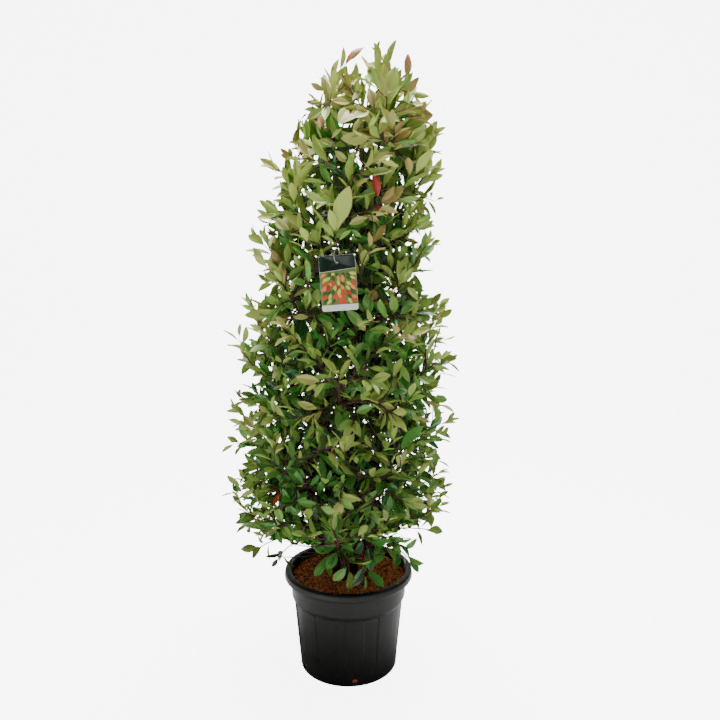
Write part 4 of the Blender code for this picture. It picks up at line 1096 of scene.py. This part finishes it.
skin.links.new(relief_sum.outputs["Value"], s_out.inputs["Height"])
gloss = add(skin, "ShaderNodeMath", [(mottle.outputs["Fac"], 0), (s_in.outputs["Gloss"], 2)],
            operation="MULTIPLY_ADD")
gloss.inputs[1].default_value = GLOSS_SPAN
skin.links.new(gloss.outputs["Value"], s_out.inputs["Roughness"])
print("leaf skin with", len(skin.nodes), "nodes")


# %% Leaf finishes
def leaf_finish(name, colour, gloss_low, bump=0.25, specular=0.45, coat=0.0):
    """A leaf's finish: its plain colour, with roughness and side veins from the shared skin."""
    made, tree, shader = plain(name, linear(*colour), 0.4, specular, coat)
    group = add(tree, "ShaderNodeGroup", node_tree=skin)
    texture = add(tree, "ShaderNodeTexCoord")
    tree.links.new(texture.outputs["UV"], group.inputs["Map"])
    tree.links.new(texture.outputs["Object"], group.inputs["Place"])
    group.inputs["Gloss"].default_value = gloss_low
    shader.inputs["Coat Roughness"].default_value = 0.24
    tree.links.new(group.outputs["Roughness"], shader.inputs["Roughness"])
    relief = add(tree, "ShaderNodeBump", [(group.outputs["Height"], "Height")],
                 Strength=bump, Distance=0.0006)
    tree.links.new(relief.outputs["Normal"], shader.inputs["Normal"])
    return made


# Greens from dark to pale. The dark ones also serve as painted shade inside the crown, the pale ones as
# painted light at its outside and top.
BLADE_COLOURS = (
    (4, 18, 5), (9, 44, 9), (20, 82, 17), (38, 120, 30), (60, 144, 46), (86, 158, 62),
    (112, 170, 72), (138, 178, 78), (160, 182, 86), (180, 184, 100),
)
TINGE_COLOURS = ((150, 136, 68), (176, 142, 82), (196, 146, 108), (172, 50, 32))
leaf_finishes = [
    leaf_finish(f"leaf_green_{i}", c, 0.17 + 0.018 * i, specular=0.62 - 0.03 * i, coat=0.6 - 0.06 * i)
    for i, c in enumerate(BLADE_COLOURS)
]
leaf_finishes += [leaf_finish(f"leaf_tinge_{i}", c, 0.26) for i, c in enumerate(TINGE_COLOURS)]
FIRST_RIB = len(leaf_finishes)
leaf_finishes += [leaf_finish(f"leaf_rib_{i}", c, 0.35, 0.05) for i, c in enumerate(
    ((96, 128, 58), (142, 160, 90), (176, 160, 112), (150, 84, 60)))]
FIRST_UNDER = len(leaf_finishes)
leaf_finishes += [leaf_finish(f"leaf_under_{i}", c, 0.48, 0.3, 0.25) for i, c in enumerate(
    ((98, 132, 54), (146, 172, 78), (180, 198, 98), (186, 172, 104)))]
print(len(leaf_finishes), "leaf finishes")

# %% [markdown]
# Leaves stand round a shoot's end by the golden angle, as they do on most plants, so that no leaf hides
# the one below. The first stands nearly in line with the tip, and each one further back spreads out
# more. Lengths, spacing and spread go tier by tier: shoots at the top are upright, with longer leaves
# further apart that stand closer to the shoot.
# %% Sprays of leaves
USUAL_LENGTH, LEAF_STALK, GOLDEN_ANGLE, TRIES_TO_FIT, FIRST_LIFT = 0.100, 0.013, 2.39996, 8, 14
LEAF_SPACING = (0.0105, 0.0105, 0.0115, 0.0130, 0.0165, 0.0175)
LEAF_LENGTHS = (0.076, 0.078, 0.084, 0.094, 0.108, 0.110)
LEADER_LEAF = 0.098
# Steps by a leaf's number on its shoot: newest paler, oldest darker, partly age and partly painted shade.
AGE_AND_SHADE_STEPS = np.array([1, 1, 0, 0, -1, -2, -3, -3])
LEAF_WIDEST = (76.0, 76.0, 72.0, 64.0, 52.0, 46.0)
LEAF_UPWARD = (1.0, 1.0, 0.9, 0.8, 0.6, 0.4)


def rosettes(curves, counts, length, spacing, space, limit, widest, upward):
    """Leaves round the ends of curves, each a golden angle on from the last. Their angles to the shoot
    rise from 14 degrees to the widest by a power of their number. A leaf that would leave the space or
    touch a limb is turned and shortened, and after eight tries it is skipped. Returns arrays, with the
    curve of each leaf and its number on the curve."""
    most = int(counts.max())
    k = np.broadcast_to(np.arange(most), (len(curves), most))
    run = np.linalg.norm(curves[:, 2] - curves[:, 0], axis=1)[:, None]
    share = 1 - spacing * (0.15 + k + 0.10 * k**2) / np.maximum(run, 1e-6)
    wanted = (k < counts[:, None]) & (share > 0.10)
    share = np.clip(share, 0.05, 1)
    base, forward = at_share(curves, share), heading_at(curves, share)
    level = np.cross(forward, (0.0, 0.0, 1.0)) + 1e-4
    side = unit(level)
    turn = grow.uniform(0, 2 * math.pi, (len(curves), 1)) + GOLDEN_ANGLE * k
    turn = turn + grow.uniform(-0.3, 0.3, k.shape)
    out = np.cos(turn)[..., None] * side + np.sin(turn)[..., None] * np.cross(forward, side)
    lift = FIRST_LIFT + (widest - FIRST_LIFT) * (k / max(most - 1, 1)) ** 0.7
    lift = (lift + grow.uniform(-12, 12, k.shape)) * DEG
    axis = forward * np.cos(lift)[..., None] + out * np.sin(lift)[..., None] + (0, 0, 0.10)
    grade = np.interp(k, (0, 1.5, 4, 9), (0.72, 0.92, 1.0, 0.92)) * grow.uniform(0.76, 1.20, k.shape)
    grade = grade * np.where(grow.uniform(0, 1, k.shape) < 0.035, 1.35, 1.0)
    which = np.nonzero(wanted)
    base, axis, forward, out = base[which], unit(axis[which]), forward[which], out[which]
    size = (np.reshape(length, (-1, 1)) * grade)[which]
    face = 1.4 * forward + (0.0, 0.0, upward) - 0.4 * out + grow.normal(0, 0.50, out.shape)
    done = np.zeros(len(base), bool)
    final_axis, final_size = axis.copy(), size.copy()
    for attempt in range(TRIES_TO_FIT):
        push = attempt / (TRIES_TO_FIT - 1)
        tried = unit(axis + push * 1.1 * grow.uniform(-1, 1, axis.shape))
        scale = size * (1 - 0.35 * push)
        across = unit(np.cross(face, tried)) * (0.2 * scale)[:, None]
        foot = base + tried * LEAF_STALK
        spots = [foot + tried * (scale * s)[:, None] + across * w
                 for s, w in ((1.0, 0), (0.8, 0), (0.55, 1), (0.55, -1), (0.3, 0))]
        fits = np.ones(len(base), bool)
        for spot in spots:
            fits &= space.holds(spot, 0.020, limit[which[0]]) & (limbs.clearance(spot) > TWIG_ROOM)
        new = fits & ~done
        final_axis[new], final_size[new] = tried[new], scale[new]
        done |= fits
    normal = unit(face - final_axis * (face * final_axis).sum(-1, keepdims=True))
    return [a[done] for a in (base, final_axis, normal, final_size)] + [which[0][done], which[1][done]]


# %% Colours of the sprays
def painted_shade_and_age(points):
    """How pale a spray is, 0 dark to 1 pale, partly by its age and partly as painted light and shade. Deep
    inside the crown all are dark, as painted shade, and towards the outline and at the very top they grow
    paler in a straight line, the more so the higher they stand: younger leaves, with painted light on them."""
    x, y, z = points[:, 0] - crown_axis_x(points[:, 2]), points[:, 1], points[:, 2]
    outer = np.clip((np.hypot(x, y) / crown_radius(z) - 0.41) / 0.38, 0, 1)
    outer = np.maximum(outer, np.clip((z - 2.16) / 0.25, 0, 1))
    height_share = np.clip((z - 0.44) / 2.1, 0, 1)
    return 0.03 + outer * (0.62 + 0.35 * height_share) + grow.normal(0, 0.12, len(points))


def deal_colours(paleness, heights, spray, number):
    """Blade finish of each leaf: one for its spray, a step paler for its newest leaves and up to three
    steps darker for its oldest, which is partly age and partly painted shade deep in the spray. Pale
    sprays high up may be tinged, and a few sprays have red tips."""
    tone = np.clip((paleness * len(BLADE_COLOURS)).astype(int), 0, len(BLADE_COLOURS) - 1)
    chance = 0.09 * np.clip((heights - 1.35) / 0.30, 0, 1) + 0.36 * np.clip((heights - 2.10) / 0.35, 0, 1)
    chance = chance * (paleness > 0.5)
    tinged = grow.uniform(0, 1, len(paleness)) < chance
    tinge = len(BLADE_COLOURS) + grow.choice(3, len(paleness), p=(0.5, 0.3, 0.2))
    red = grow.uniform(0, 1, len(paleness)) < 0.006
    dealt = np.clip(tone[spray] + AGE_AND_SHADE_STEPS[number], 0, len(BLADE_COLOURS) - 1)
    dealt = np.where(tinged[spray] & (number < 4), tinge[spray], dealt)
    return np.where(red[spray] & (number < 2), len(BLADE_COLOURS) + 3, dealt)


def rib_and_under(blade):
    """The midrib's and the underside's finish that go with a blade's."""
    step = np.select([blade < 4, blade < 8, blade < 10], [0, 1, 2], 3)
    return FIRST_RIB + np.where(blade >= len(BLADE_COLOURS) + 2, 3, np.minimum(step, 2)), FIRST_UNDER + step


# %% Deal the leaves to every mass
MAIN_FOOT, SIDE_FOOT, TWIG_FOOT = 0.0046, 0.0036, 0.0026
tier_leaves = {t[4]: [] for t in TIERS}
tier_twigs = {t[4]: [] for t in TIERS}
for space, main, side, twigs, long_ones in grown:
    tier_name = TIERS[space.tier][4]
    curves = np.concatenate([main, side, twigs, long_ones])
    counts = np.concatenate([
        np.full(1, 8), grow.integers(7, 9, len(side)), grow.integers(5, 9, len(twigs)),
        grow.integers(6, 9, len(long_ones))])
    ends = curves[:, 2]
    out = np.hypot(ends[:, 0] - crown_axis_x(ends[:, 2]), ends[:, 1]) / crown_radius(ends[:, 2])
    limit = np.clip(out + grow.uniform(0.10, 0.22, len(curves)), 0.85 if tier_name == "top" else 0.4, 1.16)
    lengths = np.full(len(curves), LEAF_LENGTHS[space.tier])
    lengths[0] = min(lengths[0], LEADER_LEAF)
    base, axis, normal, size, spray, number = rosettes(
        curves, counts, lengths, LEAF_SPACING[space.tier], space, limit, LEAF_WIDEST[space.tier],
        LEAF_UPWARD[space.tier])
    # The blade colours carry painted shade inside the crown and painted light at its outside and top.
    blade = deal_colours(painted_shade_and_age(ends), ends[:, 2], spray, number)
    tier_leaves[tier_name].append((base, axis, normal, size, blade))
    feet = np.repeat((MAIN_FOOT, SIDE_FOOT, TWIG_FOOT), (1, len(side), len(twigs) + len(long_ones)))
    tier_twigs[tier_name].append((curves, feet))
print(sum(len(part[0]) for parts in tier_leaves.values() for part in parts), "leaves")


# %% Join the leaves, stalks and twigs of each tier
def build_leaves(name, parts, nodes, narrowest=0.33, widest=0.45):
    """One mesh of all the leaves of a tier, and one of their stalks. A leaf's width is between the
    narrowest and the widest share of its length."""
    base, axis, normal, size, blade = (np.concatenate(column) for column in zip(*parts))
    count = len(base)
    foot = base + axis * LEAF_STALK
    width = size * grow.uniform(narrowest, widest, count)
    bend, fold = grow.uniform(0.03, 0.24, count), grow.uniform(0.12, 0.48, count)
    points = leaf_blades(foot, axis, normal, size, width, bend, fold, grow.uniform(0.0, 0.16, count))
    first = points.shape[1] * np.arange(count)[:, None, None]
    rib, under = rib_and_under(blade)
    table = np.stack([blade, rib, under], axis=1)
    leaves = make_piece(
        name, points, [(LEAF_QUADS[None] + first).reshape(-1, 4), (LEAF_ENDS[None] + first).reshape(-1, 3)],
        leaf_finishes, [table[:, QUAD_KINDS].ravel(), table[:, END_KINDS].ravel()],
        np.tile(LEAF_UV, (count, 1)), sharp=65,
    )
    place(leaves, nodes)
    middle = base + (axis * 0.55 + normal * 0.04) * LEAF_STALK
    lines = np.stack([base - axis * 0.001, middle, foot + axis * 0.004], axis=1)
    widths = np.broadcast_to((0.0012, 0.0009, 0.0008), (count, 3)) * (size[:, None] / USUAL_LENGTH)
    stalks = make_piece(name.replace("leaves", "stalks"), *many_tubes(lines, widths, 4), [stalk_red])
    place(stalks, nodes)


stalk_red = grained("stalk_red", linear(140, 92, 58), 0.45, 0.6, 200.0, 0.1)
twig_bark = grained("twig_bark", linear(88, 58, 46), 0.55, 0.8, 260.0, 0.4)
for tier_name in tier_leaves:
    nodes = named(f"foliage_{tier_name}_")
    build_leaves(f"leaves_{tier_name}", tier_leaves[tier_name], nodes)
    curves, feet = (np.concatenate(column) for column in zip(*tier_twigs[tier_name]))
    t = np.broadcast_to(np.linspace(0, 1, 8), (len(curves), 8))
    taper = feet[:, None] * (1 - 0.5 * t)
    twig_piece = make_piece(f"twigs_{tier_name}", *many_tubes(at_share(curves, t), taper, 6), [twig_bark])
    place(twig_piece, nodes)

# %% [markdown]
# Close to the soil the clump is bare but for thin dry twigs, and a few weak shoots arch out over the
# soil and the rim, with leaves that hang and are broader for their length than those above. They stand
# below the foliage proper, so each is a curve of its own from a stem's height, through a bend, to a
# tip.
# %% Low shoots
# Each row: its stem, the height it leaves at, the bend, the tip, its leaves, their length and their shade.
# The shade is a colour step and partly painted light: the shoots at the right, which the lamps leave in
# shade, get paler greens.
LOW_SHOOTS = (
    ("stem_left", 0.50, (-0.18, -0.03, 0.47), (-0.330, -0.050, 0.500), 0, 0.060, 2),
    ("stem_left", 0.55, (-0.24, -0.06, 0.595), (-0.285, -0.080, 0.510), 4, 0.078, 2),
    ("stem_left", 0.60, (-0.30, -0.02, 0.58), (-0.375, -0.030, 0.530), 5, 0.070, 4),
    ("stem_front", 0.54, (0.000, -0.20, 0.600), (0.006, -0.232, 0.512), 4, 0.092, 5),
    ("stem_front", 0.60, (0.06, -0.185, 0.600), (0.070, -0.222, 0.505), 4, 0.090, 3),
    ("stem_front", 0.50, (-0.060, -0.12, 0.58), (-0.085, -0.165, 0.535), 6, 0.092, 5),
    ("stem_front", 0.57, (-0.03, -0.16, 0.60), (-0.040, -0.190, 0.585), 5, 0.090, 4),
    ("stem_right", 0.52, (0.15, -0.05, 0.60), (0.195, -0.080, 0.575), 6, 0.090, 6),
    ("stem_right", 0.48, (0.20, -0.05, 0.57), (0.247, -0.075, 0.505), 5, 0.094, 5),
    ("stem_right", 0.55, (0.12, -0.10, 0.61), (0.150, -0.150, 0.590), 5, 0.090, 6),
    ("stem_main", 0.56, (0.06, -0.10, 0.62), (0.080, -0.150, 0.585), 4, 0.106, 3),
    ("stem_right", 0.60, (0.20, -0.02, 0.62), (0.330, -0.030, 0.610), 6, 0.084, 6),
    ("stem_back", 0.52, (0.07, 0.19, 0.610), (0.090, 0.240, 0.520), 5, 0.080, 4),
    ("stem_back", 0.56, (-0.09, 0.19, 0.610), (-0.130, 0.245, 0.525), 5, 0.080, 4),
)
BARE_TWIGS = 64


class RimSpace:
    """The room over the soil and outside the pot's lip, for the leaves of the low shoots."""

    def holds(self, points, lap=0.0, share=1.0):
        """Whether each point is over the soil and clear of the lip. It is asked as a Space is, but the lap
        and the share change nothing."""
        r, z = np.hypot(points[:, 0], points[:, 1]), points[:, 2]
        return (z > 0.385) & ((r < 0.235) & (z > 0.415) | (z > 0.440) | (r > 0.285))


low_curves = np.array([[on_path(*stems[row[0]], row[1])[0], row[2], row[3]] for row in LOW_SHOOTS])
base, axis, normal, size, spray, number = rosettes(
    low_curves, np.array([row[4] for row in LOW_SHOOTS]), [row[5] for row in LOW_SHOOTS], 0.0105, RimSpace(),
    np.ones(len(low_curves)), 74.0, 0.7)
# Each shoot's shade step is partly painted light: paler greens on the right, where the leaves lie in shade.
low_blade = np.array([row[6] for row in LOW_SHOOTS])[spray] + grow.integers(-1, 2, len(base))
build_leaves("leaves_low_shoots", [(base, axis, normal, size, low_blade)], named("foliage_skirt_"),
             0.44, 0.58)

# %% Bare twigs
stem_names = sorted(stems)
bare_feet = np.array([
    on_path(*stems[stem_names[k % len(stems)]], grow.uniform(0.44, 0.60))[0] for k in range(BARE_TWIGS)])
turn, far = grow.uniform(0, 2 * math.pi, BARE_TWIGS), grow.uniform(0.12, 0.32, BARE_TWIGS)
bare_ends = np.stack([
    far * np.cos(turn), far * np.sin(turn), 0.48 + 0.22 * far + grow.uniform(0.0, 0.20, BARE_TWIGS)], axis=1)
bare_middles = 0.5 * (bare_feet + bare_ends) + grow.uniform(-1, 1, (BARE_TWIGS, 3)) * (0.02, 0.02, 0.012)
bare_curves = np.concatenate([np.stack([bare_feet, bare_middles, bare_ends], axis=1), low_curves])
bare_widths = grow.uniform(0.0030, 0.0042, (len(bare_curves), 1))
t = np.broadcast_to(np.linspace(0, 1, 9), (len(bare_curves), 9))
taper = bare_widths * (1 - 0.40 * t)
low_twigs = make_piece("twigs_low_shoots", *many_tubes(at_share(bare_curves, t), taper, 6), [twig_bark])
place(low_twigs, named("foliage_skirt_"))

# %% [markdown]
# The plant card hangs by a clear loop at the front. It is a thin stiff plate with round corners. Under
# a dark band it carries a plain pattern of leaves, and below that a blank strip. The pattern is flat
# shapes a tenth of a millimetre proud of the card, which stay crisp at any distance.
# %% Card body
CARD_W, CARD_H, CARD_T = 0.130, 0.198, 0.0012
HOLE_DROP, HOLE_BELOW, CARD_HOLE, BAND_HOLE, TURN = 0.028, 0.044, 0.0035, 0.0042, -4.0 * DEG
PRINT_EDGE, PRINT_LIFT, PRINT_DEPTH = 0.0006, 0.0001, 0.0002


def card_place(points):
    """Points of the card's own plane, x across and z up from its hole, put where the card hangs."""
    x, y, z = points[:, 0], points[:, 1], points[:, 2]
    turned_x = x * math.cos(TURN) + z * math.sin(TURN)
    turned_z = -x * math.sin(TURN) + z * math.cos(TURN)
    return np.stack([turned_x, y, turned_z], axis=1) + HANGER - (0, 0, HOLE_BELOW)


def rounded_card(width, height, corner, middle_z, steps=8):
    """Outline of a rectangle, anticlockwise seen from -Y, with a quarter of a circle at each corner."""
    a = np.concatenate([(q + np.linspace(0, 1, steps)) * math.pi / 2 for q in range(4)])
    sx = np.repeat((1, -1, -1, 1), steps)
    sz = np.repeat((1, 1, -1, -1), steps)
    x = sx * (width / 2 - corner) + corner * np.cos(a)
    z = sz * (height / 2 - corner) + corner * np.sin(a) + middle_z
    return np.stack([x, z], axis=1)


def flat_plate(name, outline, front, back, finish):
    """A thin closed plate between two depths, with its front face towards -Y."""
    n = len(outline)
    points = np.concatenate([
        np.stack([outline[:, 0], np.full(n, y), outline[:, 1]], axis=1) for y in (back, front)
    ])
    j = np.arange(n)
    k = (j + 1) % n
    sides = np.stack([j, k, k + n, j + n], axis=1)
    caps = np.stack([j[::-1], j + n])
    return make_piece(name, card_place(points), [caps, sides], [finish], sharp=30)


card_white = grained("card_white", linear(255, 255, 252), 0.30, 0.42, 120.0, 0.04)
CARD_MIDDLE = HOLE_DROP - CARD_H / 2
card = flat_plate("plant_card", rounded_card(CARD_W, CARD_H, 0.008, CARD_MIDDLE), -CARD_T / 2, CARD_T / 2,
                  card_white)
hole_line = HANGER - (0, 0, HOLE_BELOW) + np.array([(0, 0.004, 0), (0, -0.004, 0)])
cut(card, [make_piece("card_drill", *tube(hole_line, (CARD_HOLE, CARD_HOLE), 24), [card_white])])
place(card, ["card"])

# %% Card print
card_green = grained("print_dark_green", linear(10, 38, 24), 0.28, 0.38, 120.0, 0.04)
card_ground = grained("print_ground", linear(112, 132, 56), 0.28, 0.38, 120.0, 0.04)
print_inks = [grained(f"print_leaf_{i}", linear(*c), 0.28, 0.38, 120.0, 0.04) for i, c in enumerate(
    ((240, 70, 46), (226, 218, 96), (56, 96, 40), (252, 146, 88), (196, 48, 36)))]
edge = CARD_W / 2 - PRINT_EDGE
band_low = HOLE_DROP - 0.048
corner = rounded_card(CARD_W - 2 * PRINT_EDGE, CARD_H - 2 * PRINT_EDGE, 0.0074, CARD_MIDDLE)
upper_corners = corner[corner[:, 1] > 0]
band_outline = np.vstack([upper_corners, (-edge, band_low - 0.010), (edge, band_low)])
print_front, print_back = -CARD_T / 2 - PRINT_LIFT, -CARD_T / 2 + PRINT_DEPTH
band = flat_plate("card_band", band_outline, print_front, print_back, card_green)
cut(band, [make_piece("band_drill", *tube(hole_line, (BAND_HOLE, BAND_HOLE), 24), [card_green])])
place(band, ["card"])
strip_top = HOLE_DROP - CARD_H + 0.022
ground_outline = np.array([(edge, band_low - 0.0012), (-edge, band_low - 0.0112), (-edge, strip_top),
                           (edge, strip_top)])
ground = flat_plate("card_ground", ground_outline, print_front, print_back, card_ground)
place(ground, ["card"])

# %% Leaf pattern
PATTERN_ROWS, PATTERN_COLUMNS = 7, 7
motif = random.Random(3)
leaf_outlines, leaf_inks = [], []
s = np.linspace(0, 1, 9)
for row in range(PATTERN_ROWS):
    for column in range(PATTERN_COLUMNS):
        length = motif.uniform(0.022, 0.031)
        way = (220 + 17 * column + motif.uniform(-22, 22)) * DEG
        cx = -0.052 + 0.0173 * column + motif.uniform(-0.004, 0.004)
        cz = band_low - 0.022 - 0.0158 * row + motif.uniform(-0.003, 0.003)
        half = 0.23 * length * np.sin(math.pi * s**0.85)
        lx, lz = np.concatenate([s, s[-2:0:-1]]) * length - length / 2, np.concatenate([half, -half[-2:0:-1]])
        px = np.clip(cx + lx * math.cos(way) - lz * math.sin(way), -edge, edge)
        pz = np.clip(cz + lx * math.sin(way) + lz * math.cos(way), strip_top + 0.0006, band_low - 0.014)
        leaf_outlines.append(np.stack([px, pz], axis=1))
        leaf_inks.append(motif.choice((0, 0, 1, 1, 2, 3, 4)))
outlines = np.array(leaf_outlines)
per = outlines.shape[1]
raised = -CARD_T / 2 - 0.00022 - 0.00001 * np.arange(len(outlines))[:, None]
front = np.stack([outlines[..., 0], np.broadcast_to(raised, outlines.shape[:2]), outlines[..., 1]], axis=-1)
back = front * (1, 0, 1) + (0, -CARD_T / 2 + 0.0001, 0)
j = np.arange(per)
first = 2 * per * np.arange(len(outlines))[:, None, None]
caps = (np.stack([j[::-1], j + per])[None] + first).reshape(-1, per)
rims = (np.stack([j, (j + 1) % per, (j + 1) % per + per, j + per], axis=1)[None] + first).reshape(-1, 4)
motif_points = card_place(np.concatenate([back, front], axis=1).reshape(-1, 3))
motif_leaves = make_piece(
    "card_leaf_pattern", motif_points, [caps, rims], print_inks,
    [np.repeat(leaf_inks, 2), np.repeat(leaf_inks, per)], sharp=30,
)
place(motif_leaves, ["card"])

# %% [markdown]
# The loop is a thin clear plastic thread that goes over the shoot and through the card's hole. It is a
# tube along a long oval, turned by an eighth of a turn so that it passes both.
# %% Loop
LOOP_STEPS, LOOP_SIDES, LOOP_RADIUS, LOOP_HALF, LOOP_OVER = 72, 10, 0.0009, 0.0150, 0.0090
loop_turn = np.linspace(0, 2 * math.pi, LOOP_STEPS, endpoint=False)
loop_top, loop_low = HANGER[2] + LOOP_OVER, HANGER[2] - HOLE_BELOW + CARD_HOLE - 2 * LOOP_RADIUS - GAP
aside = LOOP_HALF * np.array([math.cos(45 * DEG), math.sin(45 * DEG), 0.0])
loop_line = HANGER + aside * np.cos(loop_turn)[:, None]
loop_line[:, 2] = (loop_top + loop_low) / 2 + (loop_top - loop_low) / 2 * np.sin(loop_turn)
ahead = np.roll(loop_line, -1, axis=0) - np.roll(loop_line, 1, axis=0)
across = unit(np.cross(aside, (0, 0, 1.0))) * np.ones_like(ahead)
inward = unit(np.cross(across, ahead))
ring_turn = np.linspace(0, 2 * math.pi, LOOP_SIDES, endpoint=False)[:, None]
ring = inward[:, None] * np.cos(ring_turn) + across[:, None] * np.sin(ring_turn)
loop_rings = loop_line[:, None] + LOOP_RADIUS * ring
quads = grid_quads(LOOP_STEPS + 1, LOOP_SIDES) % (LOOP_STEPS * LOOP_SIDES)
loop_clear = grained("loop_clear", linear(226, 228, 224), 0.12, 0.22, 200.0, 0.02)
loop_piece = make_piece("hanging_loop", loop_rings, [quads], [loop_clear])
place(loop_piece, ["card_loop"])

# %% [markdown]
# The shoot that carries the card grows from a bough of its own at the front and turns up past the
# loop. Its leaves are placed one by one, because the largest of the whole plant stands here, just above
# the card.
# %% Shoot of the card
card_root = card_tip + card_way * GAP
card_target = card_root + np.array([-0.004, -0.018, 0.060])
card_curve = np.array([[card_root, card_root + card_way * 0.03, card_target]])
# Each row is one leaf: how far along the shoot it stands, the way it points, its length and its colour.
CARD_LEAVES = (
    (1.00, (0.26, -0.06, 1.00), 0.150, 9), (0.94, (-0.22, -0.20, 0.95), 0.076, 9),
    (0.90, (0.05, 0.50, 0.90), 0.100, 6), (0.74, (-0.62, 0.20, 0.70), 0.070, 7),
    (0.60, (0.62, 0.20, 0.62), 0.056, 6), (0.50, (-0.80, 0.30, 0.55), 0.050, 5),
)
share = np.array([[row[0] for row in CARD_LEAVES]])
axis = unit(np.array([row[1] for row in CARD_LEAVES]))
normal = np.array([0.0, 0.75, 0.35]) - 0.6 * axis * (1, 1, 0)
normal = unit(normal - axis * (normal * axis).sum(-1, keepdims=True))
card_parts = (at_share(card_curve, share)[0], axis, normal, np.array([row[2] for row in CARD_LEAVES]),
              np.array([row[3] for row in CARD_LEAVES]))
build_leaves("leaves_card_shoot", [card_parts], ["foliage_card"])
t = np.linspace(0, 1, 8)[None]
card_twigs = make_piece("twigs_card_shoot", *many_tubes(at_share(card_curve, t), 0.0030 * (1 - 0.5 * t), 6),
                        [twig_bark])
place(card_twigs, ["foliage_card"])

# %% [markdown]
# Last, the frame's box is printed as plain numbers, because dressing must not change the plant's size.
# %% Measure and finish
print("frame's box", [round(v, 3) for v in (*cad_low, *cad_high)])
